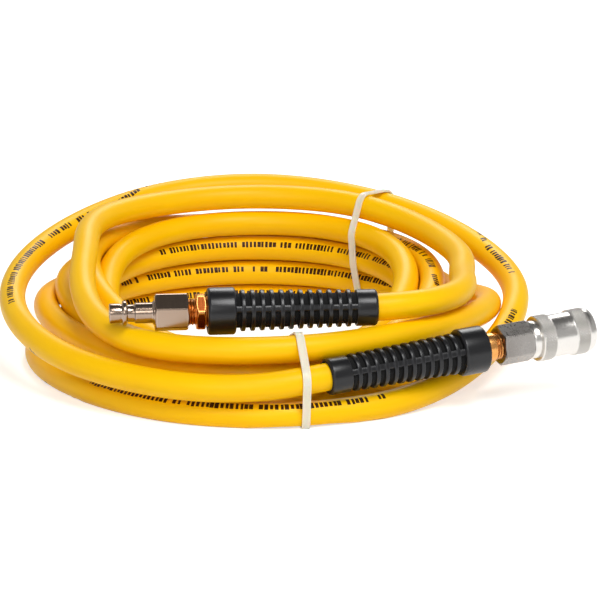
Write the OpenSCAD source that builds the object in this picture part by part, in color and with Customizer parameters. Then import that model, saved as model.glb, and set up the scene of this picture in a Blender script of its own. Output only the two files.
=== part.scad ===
// Coiled air hose with a quick plug, a quick coupler, two bend guards and two ties.
// Units are millimetres. +Z is up, the hose lies on z = 0, and the origin is where
// the coil's upright axis meets the floor. The coupler points to the right and front.

/* [Hose] */
// Outside diameter of the hose
hose_d = 12.8; // [12:0.1:13.2]
// Bore of the hose
hose_bore = 6.4; // [6:0.1:7.2]

/* [Coil] */
// Radius of the outermost floor loop
coil_r = 123; // [121:0.5:126]
// Step from one loop to the next
coil_pitch = 14; // [13.8:0.1:14.4]
// Loops of the floor layer, which winds inwards
floor_loops = 3.5; // [2.5:1:3.5]
// Loops of the upper layer, which winds outwards
upper_loops = 2.5; // [1.5:1:2.5]
// How far the pile is rolled up at the back, in degrees
pile_roll = 82; // [70:1:84]
// How far the front of the pile is pressed in at its left and right
side_press = 9.6; // [7:0.2:10]

/* [Bend guard] */
// Length of a bend guard
guard_len = 79; // [74:0.5:90]
// Length of the collar on the hose side
tip_collar_len = 10; // [6:0.5:12]
// Diameter of the collar on the hose side
tip_collar_d = 17; // [16.5:0.1:18]
// Length of the collar on the fitting side
base_collar_len = 13; // [10:0.5:16]
// Diameter of the collar on the fitting side
base_collar_d = 22; // [20:0.1:23]
// Wall of the core under the slots
core_wall = 0.6; // [0.5:0.05:0.9]
// Diameter over the first rib
rib_tip_d = 17.2; // [17:0.1:17.6]
// Diameter over the last rib
rib_base_d = 19.4; // [19:0.1:20]
// Number of ribs
rib_count = 12; // [8:1:13]
// Width of one rib along the guard
rib_w = 2.1; // [1.6:0.1:2.4]
// Number of lengthwise bars
bar_count = 2; // [2:1:6]
// Width of one lengthwise bar
bar_w = 3; // [2:0.1:4]
// Turn of the bars from level, up on the side that shows, in degrees
bar_lift = 17; // [0:1:30]

/* [Hose insert] */
// Length of the crimped ferrule
ferrule_len = 20; // [16:0.5:24]
// Wall of the ferrule
ferrule_wall = 0.75; // [0.6:0.05:0.9]
// Length of the barbed stem inside the hose
stem_len = 22; // [18:0.5:26]
// Number of barbs on the stem
barb_count = 5; // [3:1:6]
// Depth of one barb
barb_depth = 0.4; // [0.2:0.05:0.5]
// Air passage of the insert
insert_bore = 4.4; // [4:0.1:4.6]
// Hexagon of the insert across its flats
insert_af = 16; // [15:0.1:17]
// Length of the insert's hexagon or collar
insert_hex_len = 4.2; // [3.5:0.1:6]
// Turn of the insert's hexagon about its axis, in degrees
insert_hex_turn = -20; // [-30:1:30]
// Diameter of the round collar that the coupler's insert has in place of a hexagon
insert_collar_d = 13.4; // [13.1:0.1:15]
// Gap between guard and hexagon
insert_gap = 1; // [0.6:0.1:2]
// Diameter over the threads
thread_d = 12.6; // [12:0.1:13]
// Length of thread screwed into the mating part
thread_in = 8; // [6:0.5:9]
// Thread left in view on the plug side
plug_thread_show = 3.7; // [2:0.1:5]
// Thread left in view on the coupler side
coupler_thread_show = 2.8; // [2:0.1:5]
// Thickness of the sealing ring under the thread
thread_seal_t = 1; // [0.8:0.1:1.5]
// Hole of that sealing ring
thread_seal_hole = 7; // [6:0.5:8]

/* [Plug] */
// Hexagon of the plug across its flats
nipple_af = 16; // [15.8:0.1:18]
// Length of the plug's hexagon
nipple_hex_len = 15.4; // [12:0.1:18]
// Turn of the plug's hexagon about its axis, in degrees
nipple_hex_turn = -8; // [-30:1:30]
// Diameter of the shank
shank_d = 9.6; // [9:0.1:10.5]
// Length of the shank
shank_len = 9.3; // [8:0.1:12]
// Diameter of the neck that the balls grip
neck_d = 8; // [7.6:0.1:8.4]
// Length of that neck
neck_len = 3.5; // [3:0.1:4]
// Diameter of the locking ring
lock_ring_d = 11.6; // [11:0.1:11.8]
// Length of the locking ring
lock_ring_len = 2; // [1.6:0.1:2.4]
// Diameter of the relief between ring and tip
relief_d = 8.6; // [8:0.1:9]
// Length of that relief
relief_len = 1; // [0.6:0.1:1.4]
// Diameter of the sealing tip
tip_d = 9.2; // [9:0.1:9.3]
// Length of the sealing tip
tip_len = 5; // [4.6:0.1:5.4]
// Air passage of the plug
nipple_bore = 5; // [4.4:0.1:5.4]

/* [Coupler] */
// Hexagon of the adaptor across its flats
adaptor_af = 17; // [16:0.1:17.6]
// Length of the adaptor's hexagon
adaptor_len = 15.5; // [13:0.1:18]
// Turn of the adaptor's hexagon about its axis, in degrees
adaptor_hex_turn = -6; // [-30:1:30]
// Gap between hexagon and sleeve, which the sleeve slides back into
sleeve_gap = 3.6; // [3.2:0.1:4.5]
// Largest diameter of the sleeve
sleeve_d = 22; // [21:0.1:23]
// Diameter of the sleeve's waist
waist_d = 20.2; // [20:0.1:20.6]
// Length of the sleeve
sleeve_len = 28; // [27:0.1:30]
// Length of each knurled band
knurl_len = 7; // [5:0.1:8]
// Length of the chamfered front ring
front_ring_len = 3.4; // [2.5:0.1:4]
// Outside diameter of the coupler body
body_d = 15.5; // [15.3:0.1:15.7]
// Diameter of the body's waist, which the sleeve's spring goes round
body_waist_d = 14.4; // [14:0.1:14.5]
// Diameter of the flange that guides the sleeve
flange_d = 17.8; // [17.7:0.1:18]
// Diameter of the socket that takes the plug's ring
socket_d = 12; // [12:0.1:12.2]
// Diameter of the bore that takes the plug's tip
tip_bore_d = 9.4; // [9.4:0.1:9.6]
// How far the body's nose stays behind the sleeve's front
nose_recess = 1; // [0.5:0.1:1.5]
// Diameter of the locking balls
ball_d = 2.5; // [2.3:0.1:2.7]
// Number of locking balls
ball_count = 4; // [3:1:5]
// Length of the sleeve's inner rib that holds the balls in
press_rib_len = 5.6; // [5:0.1:6]
// Wire of the ring that keeps the sleeve on
snap_wire = 1; // [0.8:0.1:1.1]

/* [Valve] */
// Diameter of the poppet's nose
poppet_nose_d = 6.4; // [6:0.1:6.8]
// Diameter of the poppet's head
poppet_head_d = 8.4; // [8.2:0.1:8.6]
// Length of the poppet's head
poppet_head_len = 2.7; // [2.2:0.1:3.2]
// How far the poppet slides back
valve_travel = 3.3; // [2.5:0.1:3.5]
// Length of the valve's guide in the body
guide_len = 1.4; // [1:0.1:1.8]
// Wire of the valve seal
valve_seal_wire = 0.8; // [0.6:0.1:0.9]
// Wire of the socket's seal
socket_seal_wire = 1.5; // [1.3:0.1:1.6]

/* [Springs] */
// Wire of the sleeve's spring
sleeve_wire = 0.9; // [0.7:0.1:0.9]
// Curls of the sleeve's spring
sleeve_curls = 5; // [4:1:6]
// Length of the sleeve's spring
sleeve_spring_len = 10; // [9:0.1:10.4]
// Wire of the valve's spring
valve_wire = 0.7; // [0.5:0.1:0.8]
// Curls of the valve's spring
valve_curls = 6; // [4:1:7]
// Length of the valve's spring
valve_spring_len = 9; // [8:0.1:9.4]

/* [Ties] */
// Width of a tie's strap
strap_w = 3.8; // [3:0.1:5]
// Thickness of the strap
strap_t = 1; // [0.8:0.1:1.2]
// Length of a tie's head
tie_head_len = 6; // [5:0.1:7]
// Thickness of a tie's head
tie_head_t = 3.6; // [3:0.1:4.5]
// Length of the strap's free end, which stands out from the head
tie_stub = 7; // [4:0.5:12]

/* [Clearances] */
// Between hose and guard
guard_clear = 0.2; // [0.1:0.05:0.3]
// Between parts that are screwed or pressed together
seat_clear = 0.05; // [0.05:0.01:0.1]
// Radial clearance of the parts that slide
slide_clear = 0.05; // [0.03:0.01:0.08]
// Left between a sliding part and its stop
stop_clear = 0.3; // [0.2:0.05:0.5]
// Between the strap and the loops it holds
strap_clear = 0.45; // [0.3:0.05:0.8]

/* [Hidden] */

HOSE = [0.96, 0.66, 0.04];
GUARD = [0.09, 0.09, 0.10];
BRASS = [0.80, 0.58, 0.25];
NICKEL = [0.76, 0.74, 0.70];
STEEL = [0.70, 0.71, 0.73];
SEAL = [0.12, 0.12, 0.12];
TIE = [0.93, 0.92, 0.88];

fine = 64;
coil_sides = 6;
run_sides = 8;
rings_per_loop = 24;
rings_per_curl = 8;
ring_step = 360 / rings_per_loop;

// ---- Hose route -------------------------------------------------------------

// The floor loops are pressed flat by a tenth of the hose's diameter.
rest_z = hose_d * (1 / 2 - 1 / 10);
turn_t = floor_loops;
end_t = floor_loops + 0.5 + upper_loops;
roll_power = 1.5;

function unit(v) = v / norm(v);
function flat(v) = [v.x, v.y, 0];
function heading_vector(heading, pitch) =
    [cos(pitch) * cos(heading), cos(pitch) * sin(heading), sin(pitch)];
function polar(azimuth, radius, height) = [radius * cos(azimuth), radius * sin(azimuth), height];

// The loops start at the front and run clockwise seen from above; t counts loops.
function loop_azimuth(t) = -90 - 360 * t;

// Steps of the pile across the floor: in at a steady rate, then out again.
function across(t) =
    t <= turn_t ? coil_pitch * t
    : t <= turn_t + 0.5 ? coil_pitch * (turn_t + (t - turn_t) * (1 - 2 * (t - turn_t)))
    : coil_pitch * (2 * turn_t + 0.5 - t);

// The climb to the upper layer fills the half turn where the spiral reverses.
function above(t) = coil_pitch * min(1, max(0, 2 * (t - turn_t)));

// The pile is flat at the front and rolled up to a standing stack at the back.
function roll(t) = pile_roll * pow((1 + sin(loop_azimuth(t))) / 2, roll_power);

// The front is pressed in at its left and right, where the loops also close up.
press_power = 2.5;
press_sine = press_power / (press_power + 2);
function press_shape(sine) = (1 - sine * sine) * pow((1 + sine) / 2, press_power);
function pressed(azimuth, a) =
    let (closed = 0.95 * (coil_pitch - hose_d) * a / coil_pitch)
    (side_press - closed) * press_shape(-sin(azimuth)) / press_shape(press_sine);

function coil_point(t) =
    let (azimuth = loop_azimuth(t))
    let (a = across(t), b = above(t), turn = roll(t))
    let (outer = coil_r - coil_pitch * sin(turn) - pressed(azimuth, a))
    let (radius = outer - a * cos(turn) + b * sin(turn))
    let (stack = (a - coil_pitch * (t - floor(t))) * sin(turn) + b * cos(turn))
    polar(azimuth, radius, rest_z + stack);

slight = 0.001;
coil_start_dir = unit(coil_point(slight) - coil_point(0));
coil_end_dir = unit(coil_point(end_t) - coil_point(end_t - slight));
coil_start = coil_point(0) - hose_d * coil_start_dir;
coil_end = coil_point(end_t) + hose_d * coil_end_dir;
coil_path = concat([coil_start], [for (i = [0 : end_t * rings_per_loop]) coil_point(i / rings_per_loop)],
    [coil_end]);

// Places round the pile: an azimuth, then how far beyond the coil's radius and how high, in pitches.
function placed(azimuth, beyond, height) =
    polar(azimuth, coil_r + beyond * coil_pitch, height * coil_pitch);
function places(list) = [for (p = list) placed(p[0], p[1], p[2])];

// Where the two guards lie: the centre of the end on the hose side, and the way they point.
plug_start = placed(-56.93, -1.455, 3.343);
plug_heading = 185.8;
plug_pitch = 0;
coupler_start = placed(-75.01, 0.051, 1.6);
coupler_heading = 21.9;
coupler_pitch = 4.1;
plug_dir = heading_vector(plug_heading, plug_pitch);
coupler_dir = heading_vector(coupler_heading, coupler_pitch);

// Free runs beside the coil: beyond and height at every 30 degrees.
row_step = 30;
coupler_rows = [[0, 0.364], [-0.071, 0.414], [-0.143, 1], [0.429, 2.286], [0.214, 3.321], [-0.143, 4.179],
    [-0.393, 4.571], [-0.393, 4.286], [-0.25, 3.429], [-0.179, 2.536], [-0.143, 1.821],
    [0.036, 1.4]];
coupler_rows_from = 270;
plug_rows = [[-0.143, 1], [-0.143, 1], [-0.357, 1.357], [-0.536, 2], [-0.786, 2.357], [-0.964, 2.379],
    [-0.714, 2.357], [-0.821, 2.393], [-2.071, 2.929], [-2.75, 3.836], [-2.143, 4.264],
    [-1.643, 4.3], [-1.429, 4.343], [-1.429, 4.236], [-1.5, 3.786], [-1.5, 3.464]];
plug_rows_from = 90;
// Free runs between the rows and the guards.
coupler_lead = [[-101.4, 0.25, 1.329], [-94.08, 0.259, 1.35], [-87.28, 0.253, 1.421]];
plug_lead = [[-11.26, -1.466, 3.357], [-20.3, -1.17, 3.357], [-31.27, -0.805, 3.357],
    [-42.27, -0.822, 3.357], [-52.86, -1.214, 3.357]];

// A smooth curve through the rows, with one ring halfway between each two.
function row(rows, i) = rows[max(0, min(len(rows) - 1, i))];
function halfway(rows, i) =
    (9 * (row(rows, i) + row(rows, i + 1)) - row(rows, i - 1) - row(rows, i + 2)) / 16;
function run_rings(rows, from, way) = [for (k = [1 : 2 * (len(rows) - 1)])
    let (at = k % 2 == 0 ? row(rows, k / 2) : halfway(rows, (k - 1) / 2))
    placed(from + way * k * row_step / 2, at[0], at[1])];

coupler_run = concat([coil_start], run_rings(coupler_rows, coupler_rows_from, 1),
    places(coupler_lead), [coupler_start - hose_d * coupler_dir, coupler_start]);
plug_run = concat([coil_end], run_rings(plug_rows, plug_rows_from, -1),
    places(plug_lead), [plug_start]);

// The least gap between loops, over all rings that are more than half a loop apart.
function least_gap(points) = min([for (i = [0 : len(points) - 1])
    for (j = [i + rings_per_loop / 2 : 1 : len(points) - 1]) norm(points[i] - points[j])]) - hose_d;
function path_length(points) = len(points) < 2 ? 0
    : [for (i = 1, sum = 0; i <= len(points);
        sum = sum + (i < len(points) ? norm(points[i] - points[i - 1]) : 0), i = i + 1)
        sum][len(points) - 1];
union() {
    echo(coil_gap = least_gap(coil_path));
    echo(coil_length = path_length(coil_path));
    echo(run_lengths = [path_length(coupler_run), path_length(plug_run)]);
}

// ---- Ties -------------------------------------------------------------------

tie_front_azimuth = -80;
tie_back_azimuth = 56;
tie_azimuths = [tie_front_azimuth, tie_back_azimuth];

// The hose lies on the strap near a tie, and on the floor elsewhere.
function turn_between(a, b) = abs((a - b + 900) % 360 - 180);
function near_tie(p) = min([for (a = tie_azimuths) turn_between(atan2(p.y, p.x), a)]) < ring_step;
function lowest(p) = near_tie(p) ? strap_t + stop_clear / 3 : 0;

// Where a path crosses the upright half plane at an azimuth, as [radius, height].
function crossings(points, azimuth) =
    let (out = [cos(azimuth), sin(azimuth), 0], normal = [-sin(azimuth), cos(azimuth), 0])
    [for (i = [0 : len(points) - 2])
        let (a = points[i] * normal, b = points[i + 1] * normal)
        if (a * b <= 0 && a != b)
            let (p = points[i] + (points[i + 1] - points[i]) * a / (a - b))
            if (p * out > 0) [p * out, p.z]];
function bundle(azimuth) =
    concat(crossings(coil_path, azimuth), crossings(coupler_run, azimuth), crossings(plug_run, azimuth));

// ---- Places along an end, measured from the guard's end on the hose side ------

hose_r = hose_d / 2;
ferrule_r = hose_r + seat_clear + ferrule_wall;
ferrule_end = guard_len - base_collar_len;
ferrule_start = ferrule_end - ferrule_len;
ferrule_lip = 1.8;
tail_len = ferrule_end - ferrule_lip - guard_clear;
guard_wide_from = ferrule_start - 2;
guard_bore_r = hose_r + guard_clear;
guard_wide_r = ferrule_r + guard_clear;
stem_r = hose_bore / 2 - 2 * seat_clear;
stem_start = tail_len - stem_len;
shoulder_r = ferrule_r - 2 * seat_clear;
insert_hex_z = guard_len + insert_gap;
thread_z = insert_hex_z + insert_hex_len;
thread_r = thread_d / 2;
thread_hole_r = thread_r + seat_clear;
nipple_z = thread_z + plug_thread_show;
adaptor_z = thread_z + coupler_thread_show;
seal_gap = seat_clear;
thread_hole_len = thread_in + thread_seal_t + 2 * seal_gap;

body_z = adaptor_z + adaptor_len;
sleeve_z = body_z + sleeve_gap;
sleeve_end = sleeve_z + sleeve_len;
sleeve_travel = sleeve_gap - stop_clear;
nose_end = sleeve_end - nose_recess;
body_r = body_d / 2;
body_waist_r = body_waist_d / 2;
flange_r = flange_d / 2;
flange_lap = 2.9;
flange_end = sleeve_z + flange_lap;
press_rib_z = flange_end + sleeve_spring_len;
press_rib_end = press_rib_z + press_rib_len;
press_rib_r = body_r + slide_clear;
skirt_r = flange_r + slide_clear;
front_bore_r = skirt_r + slide_clear;
ball_r = ball_d / 2;
ball_z = press_rib_end - 2.4;
ball_hole_r = ball_r + slide_clear;
ball_seat_r = press_rib_r - 0.02 - ball_r;
snap_z = press_rib_end + slide_clear + snap_wire / 2;
snap_r = body_r + 0.15;
socket_r = socket_d / 2;
socket_step_z = ball_z - neck_len / 2 - lock_ring_len - 0.25;
tip_bore_r = tip_bore_d / 2;
seat_z = socket_step_z - relief_len - tip_len - guard_clear;
chamber_end = seat_z - guide_len;
chamber_r = tip_bore_r;
chamber_start = adaptor_z + thread_hole_len + 2.4;
spigot_len = 5.5;
spigot_r = 6.45;
poppet_head_end = chamber_end - stop_clear;
poppet_head_z = poppet_head_end - poppet_head_len;
poppet_nose_end = seat_z + valve_travel + guard_clear;
valve_seal_r = (poppet_nose_d + poppet_head_d) / 4;
valve_seal_z = chamber_end - seat_clear - valve_seal_wire / 2;
socket_seal_z = seat_z + 3.2;
socket_seal_r = tip_d / 2 + seat_clear + socket_seal_wire / 2;

// ---- Shared shapes ------------------------------------------------------------

module end_frame(start, heading, pitch) {
    translate(start)
        rotate([0, 90 - pitch, heading])
            children();
}

module plug_frame() {
    end_frame(plug_start, plug_heading, plug_pitch) children();
}

module coupler_frame() {
    end_frame(coupler_start, coupler_heading, coupler_pitch) children();
}

module up(z) {
    translate([0, 0, z]) children();
}

module revolve(points) {
    rotate_extrude($fn = fine) polygon(points);
}

// A hexagonal nut with both ends chamfered; af is the width across its flats.
module hexagon(af, length, chamfer = 0.8) {
    corner_r = af / 2 / cos(30);
    chamfer_r = af / 2 - 0.1;
    intersection() {
        cylinder(h = length, r = corner_r, $fn = 6);
        revolve([[0, 0], [chamfer_r, 0], [corner_r + 0.1, chamfer], [corner_r + 0.1, length - chamfer],
            [chamfer_r, length], [0, length]]);
    }
}

// One ring of a tube, square to the way the path runs; nothing lies lower than low.
function ring(centre, along, sides, radius, low) =
    let (side = unit(cross(along, [0, 0, 1])))
    let (rise = cross(side, along))
    [for (k = [0 : sides - 1])
        let (turn = 360 * k / sides + (sides % 4 == 0 ? 180 / sides : 0))
        let (p = centre + radius * (cos(turn) * side + sin(turn) * rise))
        [p.x, p.y, max(p.z, low)]];

function direction(points, i, first, last) =
    i == 0 ? first
    : i == len(points) - 1 ? last
    : unit(unit(points[i + 1] - points[i]) + unit(points[i] - points[i - 1]));

// Triangles between rings that hold the same number of points, with both ends closed.
function tube_faces(rings, sides) = concat(
    [for (k = [1 : sides - 2]) [0, k + 1, k]],
    [for (i = [0 : rings - 2]) for (k = [0 : sides - 1])
        let (a = i * sides + k, b = i * sides + (k + 1) % sides)
        each [[a, b, b + sides], [a, b + sides, a + sides]]],
    [for (k = [1 : sides - 2]) let (base = (rings - 1) * sides) [base, base + k, base + k + 1]]);

module hose_tube(path, first, last, sides) {
    points = [for (i = [0 : len(path) - 1])
        each ring(path[i], direction(path, i, first, last), sides, hose_r, lowest(path[i]))];
    polyhedron(points, tube_faces(len(path), sides), convexity = 12);
}

// A spring along +Z by formula: a wire on a helix whose ends are ground flat.
module helix_spring(mean_r, wire, curls, length) {
    sides = 6;
    count = curls * rings_per_curl;
    climb = (length - wire) / count;
    rings = [for (i = [0 : count])
        let (turn = 360 * i / rings_per_curl)
        let (out = [cos(turn), sin(turn), 0], along = unit([-sin(turn) * mean_r, cos(turn) * mean_r,
            climb * rings_per_curl / (2 * PI)]))
        let (rise = cross(out, along), centre = mean_r * out + [0, 0, wire / 2 + climb * i])
        [for (k = [0 : sides - 1])
            let (a = -360 * k / sides)
            let (p = centre + wire / 2 * (cos(a) * out - sin(a) * rise))
            [p.x, p.y, max(0, min(length, p.z))]]];
    polyhedron([for (r = rings) each r], tube_faces(count + 1, sides), convexity = 12);
}

// The core follows the bore, which widens over the ferrule; the ribs taper evenly.
core_ramp = 4;
function core_r(z) =
    let (share = (z - guard_wide_from + 1.5 * core_ramp) / core_ramp)
    guard_bore_r + core_wall + (guard_wide_r - guard_bore_r) * min(1, max(0, share));
function rib_r(z) =
    let (share = (z - tip_collar_len) / (guard_len - base_collar_len - tip_collar_len))
    (rib_tip_d + (rib_base_d - rib_tip_d) * share) / 2;
rib_gap = (guard_len - base_collar_len - tip_collar_len - rib_count * rib_w) / (rib_count + 1);
rib_pitch = rib_w + rib_gap;
edge = 0.4;
collar_edge = 1;

// Outline of one rib: it stands on the core and has softened edges.
function rib_outline(z) = [[core_r(z), z], [rib_r(z) - edge, z],
    [rib_r(z), z + edge], [rib_r(z + rib_w), z + rib_w - edge],
    [rib_r(z + rib_w) - edge, z + rib_w], [core_r(z + rib_w), z + rib_w]];

// Moulded bend guard: collars, tapering ribs on a thin core, and bars that bridge the ribs.
module bend_guard(first_bar) {
    tip_r = tip_collar_d / 2;
    base_r = base_collar_d / 2;
    base_z = guard_len - base_collar_len;
    bar_turn = 360 * bar_w / (PI * (rib_tip_d + rib_base_d) / 2);
    bar_from = guard_bore_r + edge;
    difference() {
        union() {
            revolve(concat([[0, 0], [tip_r - collar_edge, 0], [tip_r, collar_edge],
                [tip_r, tip_collar_len - edge], [tip_r - edge, tip_collar_len]],
                [[core_r(tip_collar_len), tip_collar_len]],
                [for (i = [0 : rib_count - 1]) each rib_outline(tip_collar_len + rib_gap + i * rib_pitch)],
                [[core_r(base_z), base_z], [base_r - collar_edge, base_z], [base_r, base_z + collar_edge],
                [base_r, guard_len - collar_edge], [base_r - collar_edge, guard_len], [0, guard_len]]));
            for (i = [0 : bar_count - 1])
                rotate([0, 0, first_bar + i * 360 / bar_count - bar_turn / 2])
                    rotate_extrude(angle = bar_turn, $fn = fine)
                        polygon([[bar_from, tip_collar_len - edge],
                            [rib_r(tip_collar_len) - edge / 2, tip_collar_len - edge],
                            [rib_r(base_z) - edge / 2, base_z + edge], [bar_from, base_z + edge]]);
        }
        up(-1) cylinder(h = guard_wide_from + 2, r = guard_bore_r, $fn = fine);
        up(guard_wide_from) cylinder(h = guard_len, r = guard_wide_r, $fn = fine);
    }
}

// Straight end of the hose inside a guard, with its bore.
module hose_tail() {
    difference() {
        cylinder(h = tail_len, r = hose_r, $fn = fine);
        up(-1) cylinder(h = tail_len + 2, r = hose_bore / 2, $fn = fine);
    }
}

// Crimped ferrule: a cup over the hose's end, with grooves where it was pressed in.
module ferrule() {
    groove = ferrule_wall / 2;
    crimps = 3;
    pitch = ferrule_len / (crimps + 1);
    inner = hose_r + seat_clear;
    outer = [for (i = [1 : crimps]) let (z = ferrule_start + i * pitch)
        each [[ferrule_r, z - 2 * groove], [ferrule_r - groove, z - groove],
            [ferrule_r - groove, z + groove], [ferrule_r, z + 2 * groove]]];
    revolve(concat([[inner, ferrule_start], [ferrule_r, ferrule_start]], outer,
        [[ferrule_r, ferrule_end], [stem_r + 2 * seat_clear, ferrule_end],
        [stem_r + 2 * seat_clear, ferrule_end - ferrule_lip], [inner, ferrule_end - ferrule_lip]]));
}

// Hose insert: barbed stem, shoulder in the guard, hexagon or round collar, and male thread.
module hose_insert(thread_show, with_flats) {
    barb_pitch = stem_len / barb_count;
    seat_z0 = ferrule_end + seat_clear;
    thread_end = thread_z + thread_show + thread_in;
    thread_edge = 0.8;
    collar_r = insert_collar_d / 2;
    difference() {
        union() {
            revolve(concat([[0, stem_start]],
                [for (i = [0 : barb_count - 1]) let (z = stem_start + i * barb_pitch)
                    each [[stem_r - barb_depth, z], [stem_r, z + barb_pitch - edge],
                        [stem_r, z + barb_pitch]]],
                [[stem_r, seat_z0], [shoulder_r, seat_z0], [shoulder_r, guard_len],
                [thread_r, insert_hex_z - edge], [thread_r, thread_end - thread_edge],
                [thread_r - thread_edge, thread_end], [0, thread_end]]));
            up(insert_hex_z)
                if (with_flats) rotate(insert_hex_turn) hexagon(insert_af, insert_hex_len);
                else revolve([[0, 0], [collar_r - edge, 0], [collar_r, edge],
                    [collar_r, insert_hex_len - edge], [collar_r - edge, insert_hex_len],
                    [0, insert_hex_len]]);
        }
        up(stem_start - 1) cylinder(h = thread_end - stem_start + 2, r = insert_bore / 2, $fn = fine);
    }
}

// Flat sealing ring that the thread presses on the floor of its hole.
module thread_seal(hole_z) {
    seal_z = hole_z + thread_in + seal_gap;
    up(seal_z)
        difference() {
            cylinder(h = thread_seal_t, r = thread_r - 0.2, $fn = fine);
            up(-1) cylinder(h = thread_seal_t + 2, r = thread_seal_hole / 2, $fn = fine);
        }
}

// A tie round every run of hose at an azimuth: the taut strap, its head and its free end.
module tie(azimuth) {
    centres = bundle(azimuth);
    inner_u = min([for (c = centres) if (c[1] < hose_d) c[0]]);
    strap_in = hose_r + strap_clear;
    head_u = inner_u - strap_in - strap_t / 2;
    reach = max([for (c = centres) c[0]]) + hose_d;
    rotate([90, 0, azimuth])
        up(-strap_w / 2) {
            linear_extrude(strap_w)
                difference() {
                    intersection() {
                        hull() for (c = centres) translate(c) circle(r = strap_in + strap_t, $fn = 32);
                        square([reach, reach]);
                    }
                    intersection() {
                        hull() for (c = centres) translate(c) circle(r = strap_in, $fn = 32);
                        translate([0, strap_t]) square([reach, reach]);
                    }
                }
            translate([head_u - tie_head_t, rest_z - tie_head_len / 2, -strap_w / 4])
                cube([tie_head_t, tie_head_len, strap_w * 1.5]);
            translate([head_u - tie_head_t - tie_stub, rest_z - strap_t / 2, 0])
                cube([tie_stub + edge, strap_t, strap_w]);
        }
}

// ---- Hose ---------------------------------------------------------------------

module hose_coil() {
    color(HOSE) hose_tube(coil_path, coil_start_dir, coil_end_dir, coil_sides);
}

module hose_run_plug() {
    color(HOSE) hose_tube(plug_run, coil_end_dir, plug_dir, run_sides);
}

module hose_run_coupler() {
    color(HOSE) hose_tube(coupler_run, -coil_start_dir, coupler_dir, run_sides);
}

module hose_tail_plug() {
    color(HOSE) plug_frame() hose_tail();
}

module hose_tail_coupler() {
    color(HOSE) coupler_frame() hose_tail();
}

// ---- Plug end -------------------------------------------------------------------

module plug_bend_guard() {
    color(GUARD) plug_frame() bend_guard(90 + bar_lift);
}

module plug_ferrule() {
    color(BRASS) plug_frame() ferrule();
}

module plug_hose_insert() {
    color(BRASS) plug_frame() hose_insert(plug_thread_show, true);
}

module plug_thread_seal() {
    color(SEAL) plug_frame() thread_seal(nipple_z);
}

// Quick plug: hexagon with a threaded hole, shank, neck, locking ring and sealing tip.
module plug_nipple() {
    shank_z = nipple_hex_len;
    neck_z = shank_z + shank_len;
    ring_z = neck_z + neck_len;
    relief_z = ring_z + lock_ring_len;
    tip_z = relief_z + relief_len;
    nipple_end = tip_z + tip_len;
    ring_r = lock_ring_d / 2;
    color(NICKEL) plug_frame() up(nipple_z)
        difference() {
            union() {
                rotate(nipple_hex_turn) hexagon(nipple_af, nipple_hex_len);
                revolve([[0, shank_z - 1], [shank_d / 2 + 1, shank_z - 1], [shank_d / 2 + 1, shank_z],
                    [shank_d / 2, shank_z + 1], [shank_d / 2, neck_z - edge], [neck_d / 2, neck_z],
                    [neck_d / 2, ring_z - edge], [ring_r - edge, ring_z], [ring_r, ring_z + edge],
                    [ring_r, relief_z - edge], [ring_r - edge, relief_z], [relief_d / 2, relief_z],
                    [relief_d / 2, tip_z], [tip_d / 2, tip_z], [tip_d / 2, nipple_end - edge],
                    [tip_d / 2 - edge, nipple_end], [0, nipple_end]]);
            }
            up(-1) cylinder(h = thread_hole_len + 1, r = thread_hole_r, $fn = fine);
            cylinder(h = nipple_end + 1, r = nipple_bore / 2, $fn = fine);
        }
}

// ---- Coupler end ----------------------------------------------------------------

module coupler_bend_guard() {
    color(GUARD) coupler_frame() bend_guard(90 - bar_lift);
}

module coupler_ferrule() {
    color(BRASS) coupler_frame() ferrule();
}

module coupler_hose_insert() {
    color(BRASS) coupler_frame() hose_insert(coupler_thread_show, false);
}

module coupler_thread_seal() {
    color(SEAL) coupler_frame() thread_seal(adaptor_z);
}

// Adaptor: hexagon with a threaded hole, and the spigot that holds the valve's spring.
module coupler_adaptor() {
    color(STEEL) coupler_frame()
        difference() {
            union() {
                up(adaptor_z) rotate(adaptor_hex_turn) hexagon(adaptor_af, adaptor_len);
                up(body_z - 1) cylinder(h = spigot_len + 1, r = spigot_r, $fn = fine);
            }
            up(adaptor_z - 1) cylinder(h = thread_hole_len + 1, r = thread_hole_r, $fn = fine);
            up(adaptor_z) cylinder(h = adaptor_len, r = nipple_bore / 2, $fn = fine);
            up(chamber_start) cylinder(h = body_z + spigot_len, r = chamber_r, $fn = fine);
        }
}

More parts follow.
